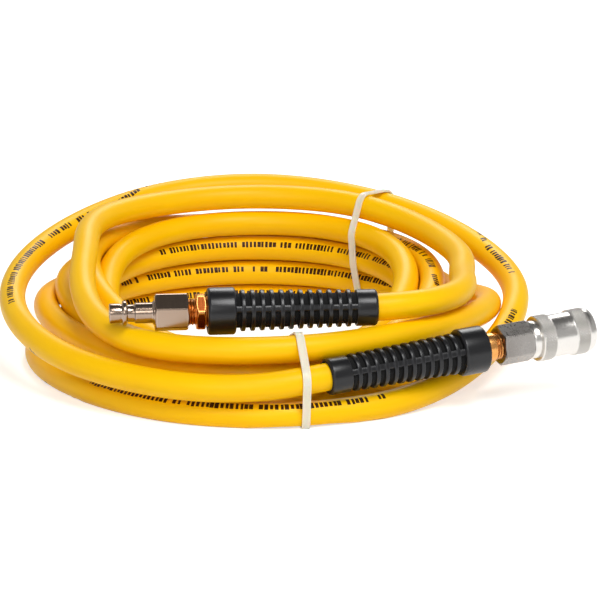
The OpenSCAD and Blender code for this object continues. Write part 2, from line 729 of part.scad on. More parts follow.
// Body: flange, stepped socket with its seal groove and valve seat, and the ball holes.
module coupler_body() {
    groove_r = snap_r - snap_wire / 2 - seat_clear;
    groove_len = snap_wire + 2 * seat_clear;
    seal_groove_r = socket_seal_r + socket_seal_wire / 2;
    seal_groove_len = socket_seal_wire + 2 * seat_clear;
    mouth = 0.8;
    ball_relief = 0.3;
    color(STEEL) coupler_frame()
        difference() {
            revolve([[0, body_z], [flange_r - edge, body_z], [flange_r, body_z + edge],
                [flange_r, flange_end - edge], [flange_r - edge, flange_end], [body_waist_r, flange_end],
                [body_waist_r, press_rib_z], [body_r, press_rib_z + edge],
                [body_r, snap_z - groove_len / 2], [groove_r, snap_z - groove_len / 2],
                [groove_r, snap_z + groove_len / 2], [body_r, snap_z + groove_len / 2],
                [body_r, nose_end - edge], [body_r - edge, nose_end], [0, nose_end]]);
            up(body_z - 1)
                cylinder(h = spigot_len + 1 + 2 * seat_clear, r = spigot_r + seat_clear, $fn = fine);
            up(body_z) cylinder(h = chamber_end - body_z, r = chamber_r, $fn = fine);
            up(body_z) cylinder(h = sleeve_len, r = poppet_nose_d / 2 + slide_clear, $fn = fine);
            up(seat_z) cylinder(h = sleeve_len, r = tip_bore_r, $fn = fine);
            up(socket_seal_z - seal_groove_len / 2)
                cylinder(h = seal_groove_len, r = seal_groove_r, $fn = fine);
            up(socket_step_z) cylinder(h = sleeve_len, r = socket_r, $fn = fine);
            up(ball_z - ball_hole_r) cylinder(h = 2 * ball_hole_r, r = socket_r + ball_relief, $fn = fine);
            up(nose_end - mouth)
                cylinder(h = mouth + slight, r1 = socket_r, r2 = socket_r + mouth, $fn = fine);
            for (i = [0 : ball_count - 1])
                up(ball_z)
                    rotate([0, 90, (i + 0.5) * 360 / ball_count])
                        cylinder(h = body_d, r = ball_hole_r, $fn = 32);
        }
}

// Release sleeve: two bands for the knurl, a waist, and the rib inside that presses the balls in.
module coupler_sleeve() {
    band_r = sleeve_d / 2;
    waist_r = waist_d / 2;
    front_r = front_bore_r + 0.9;
    rear_end = sleeve_z + knurl_len;
    ring_z = sleeve_end - front_ring_len;
    front_z = ring_z - knurl_len;
    bevel = 0.6;
    rib_bevel = 0.8;
    color(STEEL) coupler_frame()
        revolve([[skirt_r, sleeve_z], [band_r - bevel, sleeve_z], [band_r, sleeve_z + bevel],
            [band_r, rear_end - bevel], [waist_r, rear_end], [waist_r, front_z],
            [band_r, front_z + bevel], [band_r, ring_z - edge], [band_r - edge, ring_z],
            [band_r - edge, ring_z + front_ring_len / 2], [front_r, sleeve_end], [front_bore_r, sleeve_end],
            [front_bore_r, press_rib_end], [press_rib_r + rib_bevel, press_rib_end],
            [press_rib_r, press_rib_end - rib_bevel], [press_rib_r, press_rib_z], [skirt_r, press_rib_z]]);
}

module sleeve_spring() {
    mean_r = skirt_r - sleeve_wire / 2 - guard_clear;
    color(NICKEL) coupler_frame() up(flange_end + seat_clear)
        helix_spring(mean_r, sleeve_wire, sleeve_curls, sleeve_spring_len - 2 * seat_clear);
}

// Wire ring in the body's groove, open so that it can be sprung on.
module sleeve_snap_ring() {
    opening = 24;
    color(NICKEL) coupler_frame() up(snap_z)
        rotate([0, 0, opening / 2])
            rotate_extrude(angle = 360 - opening, $fn = fine)
                translate([snap_r, 0]) circle(d = snap_wire, $fn = 24);
}

module locking_balls() {
    color(NICKEL) coupler_frame()
        for (i = [0 : ball_count - 1])
            rotate([0, 0, (i + 0.5) * 360 / ball_count])
                translate([ball_seat_r, 0, ball_z]) sphere(r = ball_r, $fn = 32);
}

// Poppet: head that closes on the body's seat, and a hollow nose that the plug pushes.
module valve_poppet() {
    nose_r = poppet_nose_d / 2;
    nose_bore_r = nose_r - 1.1;
    port_r = 0.9;
    port_z = seat_z - guide_len / 2 + stop_clear;
    color(BRASS) coupler_frame()
        difference() {
            revolve([[0, poppet_head_z], [poppet_head_d / 2, poppet_head_z],
                [poppet_head_d / 2, poppet_head_end], [nose_r, poppet_head_end],
                [nose_r, poppet_nose_end - edge], [nose_r - edge, poppet_nose_end], [0, poppet_nose_end]]);
            up(port_z - port_r - edge) cylinder(h = poppet_nose_end, r = nose_bore_r, $fn = 32);
            for (turn = [0, 90])
                up(port_z) rotate([90, 0, turn])
                    cylinder(h = poppet_head_d, r = port_r, center = true, $fn = 24);
            up(valve_seal_z) rotate_extrude($fn = fine)
                translate([valve_seal_r, 0]) circle(d = valve_seal_wire, $fn = 24);
        }
}

module valve_spring() {
    mean_r = poppet_nose_d / 2 + valve_wire / 2;
    color(NICKEL) coupler_frame() up(chamber_start + seat_clear)
        helix_spring(mean_r, valve_wire, valve_curls, min(valve_spring_len, poppet_head_z - chamber_start)
            - 2 * seat_clear);
}

module valve_seal() {
    color(SEAL) coupler_frame() up(valve_seal_z) rotate_extrude($fn = fine)
        translate([valve_seal_r, 0]) circle(d = valve_seal_wire, $fn = 24);
}

module socket_seal() {
    color(SEAL) coupler_frame() up(socket_seal_z) rotate_extrude($fn = fine)
        translate([socket_seal_r, 0]) circle(d = socket_seal_wire, $fn = 24);
}

// ---- Ties -----------------------------------------------------------------------

module tie_front() {
    color(TIE) tie(tie_front_azimuth);
}

module tie_back() {
    color(TIE) tie(tie_back_azimuth);
}

hose_coil();
hose_run_plug();
hose_run_coupler();
hose_tail_plug();
hose_tail_coupler();
plug_bend_guard();
plug_ferrule();
plug_hose_insert();
plug_thread_seal();
plug_nipple();
coupler_bend_guard();
coupler_ferrule();
coupler_hose_insert();
coupler_thread_seal();
coupler_adaptor();
coupler_body();
coupler_sleeve();
sleeve_spring();
sleeve_snap_ring();
locking_balls();
valve_poppet();
valve_spring();
valve_seal();
socket_seal();
tie_front();
tie_back();
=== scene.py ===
"""Coiled air hose: the hose, its bend guards, plug, coupler and ties, dressed over the fixed frame.

Lengths in this script are millimetres until grid_mesh() turns them into metres.
"""

import math

import bmesh
import bpy
import numpy as np
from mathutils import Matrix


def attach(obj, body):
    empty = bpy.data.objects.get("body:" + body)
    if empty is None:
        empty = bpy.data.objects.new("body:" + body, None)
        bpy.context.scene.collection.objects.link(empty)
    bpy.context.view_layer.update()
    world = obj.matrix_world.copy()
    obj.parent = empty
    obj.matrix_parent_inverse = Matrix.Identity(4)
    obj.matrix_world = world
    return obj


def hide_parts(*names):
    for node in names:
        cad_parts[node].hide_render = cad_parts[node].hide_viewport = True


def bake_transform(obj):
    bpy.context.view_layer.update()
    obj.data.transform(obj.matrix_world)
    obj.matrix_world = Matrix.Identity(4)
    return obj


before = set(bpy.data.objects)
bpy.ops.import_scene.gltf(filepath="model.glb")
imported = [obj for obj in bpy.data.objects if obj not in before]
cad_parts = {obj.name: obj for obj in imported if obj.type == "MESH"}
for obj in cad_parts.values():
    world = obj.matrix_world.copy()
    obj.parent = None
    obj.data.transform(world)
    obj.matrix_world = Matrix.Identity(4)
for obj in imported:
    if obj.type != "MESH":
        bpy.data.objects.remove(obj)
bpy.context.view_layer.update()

ROOT = "hose_and_fittings"
SLEEVE = "release_sleeve"
POPPET = "poppet"
MM = 0.001


def new_object(name, data):
    """An object of this data at the origin, in the scene."""
    obj = bpy.data.objects.new(name, data)
    bpy.context.scene.collection.objects.link(obj)
    return obj


# ---- Camera ----

VIEW_HEIGHT = math.radians(14.9)
VIEW_AWAY = 1.320

camera_data = bpy.data.cameras.new("studio_camera")
camera_data.sensor_width = 36
camera_data.lens = 158.4
camera_data.shift_x = 0.0733
camera_data.shift_y = 0.095
camera = new_object("studio_camera", camera_data)
camera.location = (0, -VIEW_AWAY * math.cos(VIEW_HEIGHT), VIEW_AWAY * math.sin(VIEW_HEIGHT))
camera.rotation_euler = (math.pi / 2 - VIEW_HEIGHT, 0, 0)
bpy.context.scene.camera = camera

# ---- Sizes, the same as in the part's source ----

HOSE_D, HOSE_BORE = 12.8, 6.4
HOSE_R = HOSE_D / 2
COIL_R, COIL_PITCH, FLOOR_LOOPS, UPPER_LOOPS, PILE_ROLL, SIDE_PRESS = 123, 14, 3.5, 2.5, 82, 9.6
REST_Z = HOSE_D * 0.4
TURN_T, END_T = FLOOR_LOOPS, FLOOR_LOOPS + 0.5 + UPPER_LOOPS
TAIL_LEN = 64.0
STRAP_W, STRAP_T, STRAP_CLEAR = 3.8, 1.0, 0.45
TIE_AZIMUTHS = {"tie_front": -80.0, "tie_back": 56.0}
GUARD_LEN, TIP_COLLAR, BASE_COLLAR, RIB_COUNT, RIB_W, BAR_W = 79, 10, 13, 12, 2.1, 3


def unit(v):
    """The same ways with length one."""
    return v / np.linalg.norm(v, axis=-1, keepdims=True)


def far_along(points):
    """How far each point of a line lies along it."""
    return np.concatenate([[0], np.cumsum(np.linalg.norm(np.diff(points, axis=0), axis=1))])


def once_round(count):
    """As many angles as the count, at equal steps from nothing to just short of a full turn."""
    return np.linspace(0, 2 * math.pi, count + 1)[:-1]


def placed(places):
    """Points from rows of azimuth, pitches beyond the coil's radius, and height in pitches."""
    azimuth, beyond, height = np.array(places, float).T
    azimuth, radius = np.radians(azimuth), COIL_R + beyond * COIL_PITCH
    return np.stack([radius * np.cos(azimuth), radius * np.sin(azimuth), height * COIL_PITCH], axis=-1)


PLUG_START, PLUG_HEADING, PLUG_PITCH = placed([[-56.93, -1.455, 3.343]])[0], 185.8, 0.0
COUPLER_START, COUPLER_HEADING, COUPLER_PITCH = placed([[-75.01, 0.051, 1.6]])[0], 21.9, 4.1


def end_axes(heading, pitch):
    """The three axes of an end as columns: down, sideways, and along the way the end points."""
    h, p = math.radians(heading), math.radians(pitch)
    down = [math.sin(p) * math.cos(h), math.sin(p) * math.sin(h), -math.cos(p)]
    side = [-math.sin(h), math.cos(h), 0.0]
    along = [math.cos(p) * math.cos(h), math.cos(p) * math.sin(h), math.sin(p)]
    return np.array([down, side, along]).T


PLUG_AXES = end_axes(PLUG_HEADING, PLUG_PITCH)
COUPLER_AXES = end_axes(COUPLER_HEADING, COUPLER_PITCH)
PLUG_DIR, COUPLER_DIR = PLUG_AXES[:, 2], COUPLER_AXES[:, 2]


def on_plug(points):
    """Points on the plug's axis, placed."""
    return points @ PLUG_AXES.T + PLUG_START


def on_coupler(points):
    """Points on the coupler's axis, placed."""
    return points @ COUPLER_AXES.T + COUPLER_START


# ---- Route of the hose ----

PRESS_POWER, LOOPS_CLOSE, ROLL_POWER = 2.5, 0.95, 1.5
RING_STEP = 3.6


def press_shape(sine):
    """How strongly the pile is pressed in, from a sine that is 1 at the front and -1 at the back.

    One less the sine's square, times a power of half of one more than the sine. That is nothing
    at the very front and the back, and most between the front and the sides.
    """
    return (1 - sine**2) * ((1 + sine) / 2) ** PRESS_POWER


def coil_points(t):
    """The coil's centreline after t loops, as rows of x, y, z.

    The azimuth runs clockwise from the front. The pile steps in by one pitch a loop, turns
    back over half a loop while it climbs by one pitch, and steps out again. That layout is
    rolled up by an angle that grows from nothing at the front to 82 degrees at the back, and
    its front is pressed in at its left and right, where the loops also close up.
    """
    azimuth = np.radians(-90 - 360 * t)
    back = t - TURN_T
    across = COIL_PITCH * np.where(
        t <= TURN_T, t, np.where(back <= 0.5, TURN_T + back * (1 - 2 * back), 2 * TURN_T + 0.5 - t)
    )
    above = COIL_PITCH * np.clip(2 * back, 0, 1)
    roll = np.radians(PILE_ROLL) * ((1 + np.sin(azimuth)) / 2) ** ROLL_POWER
    closed = LOOPS_CLOSE * (COIL_PITCH - HOSE_D) * across / COIL_PITCH
    most = press_shape(PRESS_POWER / (PRESS_POWER + 2))
    pressed = (SIDE_PRESS - closed) * press_shape(-np.sin(azimuth)) / most
    outer = COIL_R - COIL_PITCH * np.sin(roll) - pressed
    radius = outer - across * np.cos(roll) + above * np.sin(roll)
    rise = (across - COIL_PITCH * (t - np.floor(t))) * np.sin(roll) + above * np.cos(roll)
    return np.stack([radius * np.cos(azimuth), radius * np.sin(azimuth), REST_Z + rise], axis=-1)


def run_points(rows, start_azimuth, step):
    """Points of a free run from rows of beyond and height, one row at each step of azimuth.

    A point halfway between two rows is nine sixteenths of their sum less a sixteenth of the
    sum of the rows outside them.
    """
    rows = np.array(rows, float)
    out = np.vstack([rows[:1], rows, rows[-1:]])
    middle = (9 * (out[1:-2] + out[2:-1]) - out[:-3] - out[3:]) / 16
    both = np.empty((2 * len(rows) - 1, 2))
    both[0::2], both[1::2] = rows, middle
    azimuth = start_azimuth + step / 2 * np.arange(1, len(both))
    return placed(np.column_stack([azimuth, both[1:]]))


COUPLER_ROWS = [[0, 0.364], [-0.071, 0.414], [-0.143, 1], [0.429, 2.286], [0.214, 3.321], [-0.143, 4.179],
                [-0.393, 4.571], [-0.393, 4.286], [-0.25, 3.429], [-0.179, 2.536], [-0.143, 1.821],
                [0.036, 1.4]]
PLUG_ROWS = [[-0.143, 1], [-0.143, 1], [-0.357, 1.357], [-0.536, 2], [-0.786, 2.357], [-0.964, 2.379],
             [-0.714, 2.357], [-0.821, 2.393], [-2.071, 2.929], [-2.75, 3.836], [-2.143, 4.264],
             [-1.643, 4.3], [-1.429, 4.343], [-1.429, 4.236], [-1.5, 3.786], [-1.5, 3.464]]
COUPLER_LEAD = [[-101.4, 0.25, 1.329], [-94.08, 0.259, 1.35], [-87.28, 0.253, 1.421]]
PLUG_LEAD = [[-11.26, -1.466, 3.357], [-20.3, -1.17, 3.357], [-31.27, -0.805, 3.357],
             [-42.27, -0.822, 3.357], [-52.86, -1.214, 3.357]]


def smooth_curve(knots, first, last, step):
    """A cubic spline through the knots with given end directions, at equal steps of length.

    Each stretch is a cubic in the distance between its knots, and the slopes at the knots
    solve the equations that make the bend run on from one stretch to the next.
    """
    gaps = np.linalg.norm(np.diff(knots, axis=0), axis=1)
    n = len(knots)
    system, right = np.eye(n), np.zeros((n, 3))
    right[0], right[-1] = first, last
    i = np.arange(1, n - 1)
    a, b = gaps[i - 1], gaps[i]
    system[i, i - 1], system[i, i], system[i, i + 1] = b, 2 * (a + b), a
    leap = (knots[1:] - knots[:-1]) / gaps[:, None]
    right[i] = 3 * (b[:, None] * leap[i - 1] + a[:, None] * leap[i])
    slope = np.linalg.solve(system, right)
    u = np.linspace(0, 1, 13)[:-1][None, :, None]
    h = gaps[:, None, None]
    dense = (
        knots[:-1, None] * (2 * u**3 - 3 * u**2 + 1)
        + slope[:-1, None] * h * (u**3 - 2 * u**2 + u)
        + knots[1:, None] * (3 * u**2 - 2 * u**3)
        + slope[1:, None] * h * (u**3 - u**2)
    ).reshape(-1, 3)
    dense = np.vstack([dense, knots[-1:]])
    far = far_along(dense)
    at = np.linspace(0, far[-1], int(far[-1] / step) + 1)
    return np.stack([np.interp(at, far, dense[:, k]) for k in range(3)], axis=-1)


def hose_route():
    """The whole centreline, from inside the coupler's guard round the coil into the plug's guard."""
    near, loop_points = 0.001, 24
    start_dir = unit(coil_points(np.array([near])) - coil_points(np.array([0.0])))[0]
    end_dir = unit(coil_points(np.array([END_T])) - coil_points(np.array([END_T - near])))[0]
    loops = coil_points(np.arange(0, END_T * loop_points + 1) / loop_points)
    coil_start = loops[0] - HOSE_D * start_dir
    coil_end = loops[-1] + HOSE_D * end_dir
    coupler_run = run_points(COUPLER_ROWS, 270, 30)[::-1]
    plug_run = run_points(PLUG_ROWS, 90, -30)
    tail = np.array([1.0, 0.75, 0.5, 0.25])[:, None] * TAIL_LEN
    knots = np.vstack([
        COUPLER_START + tail * COUPLER_DIR, COUPLER_START, COUPLER_START - HOSE_D * COUPLER_DIR,
        placed(COUPLER_LEAD[::-1]), coupler_run, coil_start, loops, coil_end, plug_run, placed(PLUG_LEAD),
        PLUG_START, PLUG_START + tail[::-1] * PLUG_DIR,
    ])
    return smooth_curve(knots, -COUPLER_DIR, PLUG_DIR, RING_STEP)


# ---- Meshes from grids ----


def grid_mesh(name, grid, uv, rows_join, edge=None, groove=None):
    """A closed mesh from rows of points; each row is a closed loop of columns.

    rows_join says that the last row meets the first. Otherwise each end row is closed by a
    fan to its middle. Edge and groove have one value a point. The faces are turned over if the
    sum of what each one spans with the origin, six times the volume, is negative.
    """
    rows, cols = grid.shape[:2]
    points = grid.reshape(-1, 3)
    i = np.arange(rows if rows_join else rows - 1)[:, None]
    j = np.arange(cols)[None, :]
    i2, j2 = (i + 1) % rows, (j + 1) % cols

    def fours(*corners):
        """One row of four values a face, from the values of its four corners."""
        return np.stack(np.broadcast_arrays(*corners, i + j)[:4], -1).reshape(-1, 4)

    quads = fours(i * cols + j, i * cols + j2, i2 * cols + j2, i2 * cols + j)
    spots, turns = fours(i, i, i + 1, i + 1), fours(j, j + 1, j + 1, j)
    quad_uv = uv[np.minimum(spots, len(uv) - 1), np.minimum(turns, uv.shape[1] - 1)]
    faces, loops_uv = quads.ravel(), quad_uv.reshape(-1, 2)
    sizes = np.full(len(quads), 4)
    if not rows_join:
        ends = np.array([points[:cols].mean(0), points[-cols:].mean(0)])
        k, k2 = np.arange(cols), (np.arange(cols) + 1) % cols
        low = np.stack([np.full(cols, rows * cols), k2, k], -1)
        high = np.stack([np.full(cols, rows * cols + 1), (rows - 1) * cols + k, (rows - 1) * cols + k2], -1)
        points = np.vstack([points, ends])
        faces = np.concatenate([faces, low.ravel(), high.ravel()])
        near, far = uv[0, :-1], uv[-1, :-1]
        near2, far2 = uv[0, 1:], uv[-1, 1:]
        fans = np.concatenate([np.stack([near, near2, near], 1), np.stack([far, far, far2], 1)])
        loops_uv = np.vstack([loops_uv, fans.reshape(-1, 2)])
        sizes = np.concatenate([sizes, np.full(2 * cols, 3)])
    a, b, c, d = points[quads].transpose(1, 0, 2)
    volume = (a * (np.cross(b - a, c - a) + np.cross(c - a, d - a))).sum()
    mesh = bpy.data.meshes.new(name)
    starts = np.concatenate([[0], np.cumsum(sizes)[:-1]])
    mesh.vertices.add(len(points))
    mesh.vertices.foreach_set("co", (points * MM).astype(np.float32).ravel())
    mesh.loops.add(len(faces))
    mesh.loops.foreach_set("vertex_index", faces.astype(np.int32))
    mesh.polygons.add(len(sizes))
    mesh.polygons.foreach_set("loop_start", starts.astype(np.int32))
    mesh.update(calc_edges=True)
    layer = mesh.uv_layers.new(name="along")
    layer.data.foreach_set("uv", (loops_uv * MM).astype(np.float32).ravel())
    for key, values in (("edge", edge), ("groove", groove)):
        if values is not None:
            attribute = mesh.attributes.new(key, "FLOAT", "POINT")
            attribute.data.foreach_set("value", values.astype(np.float32).ravel())
    if volume < 0:
        mesh.flip_normals()
    mesh.validate()
    return mesh


def piece(name, mesh, body, material, crease=28.0):
    """An object at the origin that rides on a body, if one is given, and shades smoothly between creases."""
    obj = new_object(name, mesh)
    mesh.materials.append(material)
    mesh.polygons.foreach_set("use_smooth", np.ones(len(mesh.polygons), bool))
    mesh.set_sharp_from_angle(angle=math.radians(crease))
    if body:
        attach(obj, body)
    return obj


def map_of(across, along):
    """A map with one value for each column across, and one for each row along."""
    return np.stack(np.broadcast_arrays(across[None, :], along[:, None]), axis=-1)


def softened(outline, fillet):
    """An outline whose corners are rounded, and how much of an edge each point is.

    A point of the curve is the corner, plus the reach back times the square of the share still
    to go, plus the reach ahead times the square of the share done. Both reaches are the fillet,
    or 0.4 of a side where that is shorter. It is as much of an edge as four times both shares,
    times one more than the cosine between the two sides, and one at most.
    """
    corners = np.array(outline, float)
    back, ahead = np.roll(corners, 1, 0) - corners, np.roll(corners, -1, 0) - corners
    size_a, size_b = np.linalg.norm(back, axis=1), np.linalg.norm(ahead, axis=1)
    reach = np.minimum(fillet, 0.4 * np.minimum(size_a, size_b))[:, None, None]
    a, b = (back / size_a[:, None])[:, None], (ahead / size_b[:, None])[:, None]
    t = np.linspace(0, 1, 5)[None, :, None]
    points = corners[:, None] + reach * (a * (1 - t) ** 2 + b * t**2)
    sharp = np.clip(1 + (a * b).sum(-1), 0, 1)
    worn = sharp * (4 * t[..., 0] * (1 - t[..., 0]))
    return points.reshape(-1, 2), worn.ravel()


def spaced(points, worn, step, low, high):
    """The outline again, with no stretch longer than step where its second value is from low to high."""
    after = np.roll(points, -1, 0)
    far = np.linalg.norm(after - points, axis=1)
    middle = (after[:, 1] + points[:, 1]) / 2
    count = np.where((middle > low) & (middle < high), np.ceil(far / step), 1).astype(int)
    index = np.repeat(np.arange(len(points)), count)
    share = np.arange(len(index)) - np.repeat(np.cumsum(count) - count, count)
    share = (share / count[index])[:, None]
    worn_next = np.roll(worn, -1)
    return (points[index] * (1 - share) + after[index] * share,
            worn[index] * (1 - share[:, 0]) + worn_next[index] * share[:, 0])


CORNER_CUT = 0.2


def hexagon_radius(angle, across_flats):
    """Distance of a hexagon's side from its axis at an angle, with its corners taken off a little.

    It is half the width across the flats over the cosine of the angle from the side's middle.
    """
    within = (angle + math.pi / 6) % (math.pi / 3) - math.pi / 6
    side = across_flats / 2 / np.cos(math.pi / 6 - np.abs(within))
    return np.minimum(side, across_flats / 2 / math.cos(math.pi / 6) - CORNER_CUT)


def turned(name, outline, worn, place, shape, columns=144, start=0.0, depth=None, top=None):
    """A turned piece: an outline of radius and height carried round the axis of an end.

    The shape gives the radius from radius, height and angle, as for flats, a thread or a knurl.
    Columns are their count, evenly round from the start, or else a list of their angles.
    How deep a point lies in a groove, from 0 to 1, is its distance below the top over the
    groove's depth, squared. The top is what the radius was, or top(height).
    """
    angle = columns if np.ndim(columns) else start + once_round(columns)
    before, height, around = np.broadcast_arrays(outline[:, :1], outline[:, 1:], angle[None, :])
    radius = shape(before, height, around)
    above = before if top is None else top(height)
    groove = np.clip((above - radius) / depth, 0, 1) ** 2 if depth else np.zeros_like(radius)
    grid = np.stack([radius * np.cos(around), radius * np.sin(around), height], axis=-1)
    along = far_along(np.vstack([outline, outline[:1]]))
    wide = np.append(angle, angle[0] + 2 * math.pi) * outline[:, 0].max()
    return grid_mesh(name, place(grid), map_of(wide, along), True, np.repeat(worn, len(angle)), groove)


# ---- Shader helpers ----


def linear(*rgb):
    """The linear colour of three sRGB values from 0 to 255."""
    c = np.array(rgb) / 255
    c = np.where(c <= 0.04045, c / 12.92, ((c + 0.055) / 1.055) ** 2.4)
    return (*c.tolist(), 1.0)


def put(tree, socket, value):
    """Puts a value into a socket: a link from another socket, or a number or colour."""
    if isinstance(value, bpy.types.NodeSocket):
        tree.links.new(value, socket)
    else:
        socket.default_value = value


def add(tree, kind, **values):
    """A node with its settings; a value whose name is a socket's goes into that socket."""
    node = tree.nodes.new(kind)
    for key, value in values.items():
        if hasattr(node, key):
            setattr(node, key, value)
        else:
            put(tree, node.inputs[key.replace("_", " ")], value)
    return node


def math_node(tree, operation, a, b=None, clamp=False):
    """One step of arithmetic on sockets or numbers."""
    node = tree.nodes.new("ShaderNodeMath")
    node.operation, node.use_clamp = operation, clamp
    for socket, value in zip(node.inputs, (a, b)):
        if value is not None:
            put(tree, socket, value)
    return node.outputs[0]


def new_group(name, inputs, outputs):
    """A shader node group with float inputs and outputs; gives the tree and its two end nodes."""
    tree = bpy.data.node_groups.new(name, "ShaderNodeTree")
    for key, value in inputs.items():
        socket = tree.interface.new_socket(name=key, in_out="INPUT", socket_type="NodeSocketFloat")
        socket.default_value = value
    for key in outputs:
        tree.interface.new_socket(name=key, in_out="OUTPUT", socket_type="NodeSocketFloat")
    return tree, tree.nodes.new("NodeGroupInput"), tree.nodes.new("NodeGroupOutput")


def use_group(tree, group, **values):
    """A group's node with its values."""
    return add(tree, "ShaderNodeGroup", node_tree=group, **values)


def grain_group():
    """Fine grain: noise on the piece itself, with its height and a slow drift beside it."""
    tree, start, end = new_group("fine_grain", {"Scale": 900.0}, ["Height", "Drift"])
    place = add(tree, "ShaderNodeTexCoord").outputs["Object"]
    scale = start.outputs["Scale"]
    fine = add(tree, "ShaderNodeTexNoise", Vector=place, Detail=3.0, Roughness=0.6, Scale=scale)
    slow = add(tree, "ShaderNodeTexNoise", Vector=place, Detail=2.0, Scale=38.0)
    tree.links.new(fine.outputs["Fac"], end.inputs["Height"])
    tree.links.new(slow.outputs["Fac"], end.inputs["Drift"])
    return tree


def turning_group():
    """Turning marks: noise drawn out round the piece and close together along it."""
    tree, start, end = new_group("turning_marks", {"Lines": 9000.0}, ["Height"])
    place = add(tree, "ShaderNodeUVMap", uv_map="along")
    split = add(tree, "ShaderNodeSeparateXYZ", Vector=place.outputs["UV"])
    around = math_node(tree, "MULTIPLY", split.outputs["X"], 60.0)
    along = math_node(tree, "MULTIPLY", split.outputs["Y"], start.outputs["Lines"])
    join = add(tree, "ShaderNodeCombineXYZ", X=around, Y=along)
    lines = add(tree, "ShaderNodeTexNoise", Vector=join.outputs[0], Detail=2.0, Scale=1.0)
    tree.links.new(lines.outputs["Fac"], end.inputs["Height"])
    return tree


def wear_group():
    """Worn edges: the piece's own edge value, broken up by noise, from 0 to 1."""
    tree, start, end = new_group("worn_edges", {"Amount": 1.0}, ["Mask"])
    edge = add(tree, "ShaderNodeAttribute", attribute_name="edge")
    place = add(tree, "ShaderNodeTexCoord")
    patches = add(tree, "ShaderNodeTexNoise", Vector=place.outputs["Object"], Detail=4.0, Scale=260.0)
    rough = math_node(tree, "MULTIPLY", edge.outputs["Fac"], patches.outputs["Fac"])
    tree.links.new(math_node(tree, "MULTIPLY", rough, start.outputs["Amount"], True), end.inputs["Mask"])
    return tree


GRAIN, TURNING, WEAR = grain_group(), turning_group(), wear_group()


def new_material(name, **constants):
    """A material with its Principled shader; the constants go straight on the shader's sockets."""
    material = bpy.data.materials.new(name)
    material.use_nodes = True
    tree = material.node_tree
    shader = tree.nodes["Principled BSDF"]
    for key, value in constants.items():
        put(tree, shader.inputs[key.replace("_", " ")], value)
    return material, tree, shader


def blend_colours(tree, mask, first, second):
    """From the first colour, where the mask is 0, to the second, where it is 1."""
    node = tree.nodes.new("ShaderNodeMix")
    node.data_type = "RGBA"
    for number, value in ((0, mask), (6, first), (7, second)):
        put(tree, node.inputs[number], value)
    return node.outputs[2]


def finish_surface(tree, shader, colour, rough, height, depth, strength):
    """Gives the shader its colour and its roughness, and the relief of a height."""
    relief = add(tree, "ShaderNodeBump", Strength=strength, Distance=depth, Height=height)
    for key, value in (("Base Color", colour), ("Roughness", rough), ("Normal", relief.outputs[0])):
        put(tree, shader.inputs[key], value)


def in_range(tree, value, low, high):
    """A value from 0..1 carried onto low..high."""
    return math_node(tree, "ADD", math_node(tree, "MULTIPLY", value, high - low), low)


def eased(tree, value, start, end, low, high):
    """Low up to the start, high from the end on, and smooth between them."""
    node = add(tree, "ShaderNodeMapRange", interpolation_type="SMOOTHSTEP", Value=value,
               From_Min=start, From_Max=end, To_Min=low, To_Max=high)
    return node.outputs["Result"]


# ---- Materials ----


def hose_rubber():
    """Satin yellow rubber with a line of plain dark-brown ticks along one side.

    The map's first value runs along the hose and its second round it from the ticks. A tick
    stands in a cell 2.2 mm long, is as wide as a random share of it, and reaches up to 1.8 mm
    from the line. Random cells are left out, and longer cells break the line up.
    """
    material, tree, shader = new_material("hose_rubber", IOR=1.45, Specular_IOR_Level=0.2)
    grain = use_group(tree, GRAIN, Scale=1500.0)
    place = add(tree, "ShaderNodeUVMap", uv_map="along")
    split = add(tree, "ShaderNodeSeparateXYZ", Vector=place.outputs["UV"])
    along, around = split.outputs["X"], split.outputs["Y"]

    def random_of(length, salt):
        """A random number for each stretch of a length along the hose."""
        cell = math_node(tree, "FLOOR", math_node(tree, "DIVIDE", along, length))
        salted = math_node(tree, "ADD", cell, salt)
        return add(tree, "ShaderNodeTexWhiteNoise", noise_dimensions="1D", W=salted).outputs["Value"]

    def both(first, second):
        return math_node(tree, "MULTIPLY", first, second)

    tick_length = 0.0022
    place_in = math_node(tree, "FRACT", math_node(tree, "DIVIDE", along, tick_length))
    tick = math_node(tree, "LESS_THAN", place_in, in_range(tree, random_of(tick_length, 0.5), 0.5, 0.88))
    reach = in_range(tree, random_of(tick_length, 71.5), 0.0013, 0.0018)
    band = math_node(tree, "LESS_THAN", math_node(tree, "ABSOLUTE", around), reach)
    kept = math_node(tree, "LESS_THAN", random_of(tick_length, 33.5), 0.84)
    word = math_node(tree, "LESS_THAN", random_of(0.037, 12.5), 0.82)
    mark = both(both(tick, band), both(kept, word))
    faded = math_node(tree, "MULTIPLY", mark, in_range(tree, grain.outputs["Height"], 0.8, 1.2), True)
    body = blend_colours(tree, grain.outputs["Drift"], linear(255, 204, 0), linear(255, 191, 0))
    colour = blend_colours(tree, faded, body, linear(52, 24, 2))
    rough = in_range(tree, grain.outputs["Drift"], 0.34, 0.46)
    finish_surface(tree, shader, colour, rough, grain.outputs["Height"], 0.00004, 0.5)
    return material


def guard_plastic():
    """Black moulded plastic: a fine leather-like grain, greyer on worn edges, with painted shade that
    darkens its slots.
    """
    material, tree, shader = new_material("guard_plastic", IOR=1.5, Specular_IOR_Level=0.42)
    grain = use_group(tree, GRAIN, Scale=2600.0)
    wear = use_group(tree, WEAR, Amount=0.7)
    groove = add(tree, "ShaderNodeAttribute", attribute_name="groove")
    open_colour = blend_colours(tree, wear.outputs["Mask"], linear(21, 21, 23), linear(62, 62, 66))
    # Painted shade: the slots' floors are darkened nearly to black by the groove depth.
    colour = blend_colours(tree, groove.outputs["Fac"], open_colour, linear(2, 2, 2))
    dulled = math_node(tree, "MULTIPLY", groove.outputs["Fac"], 0.62)
    rough = math_node(tree, "ADD", in_range(tree, grain.outputs["Drift"], 0.24, 0.34), dulled)
    finish_surface(tree, shader, colour, rough, grain.outputs["Height"], 0.00004, 0.5)
    return material


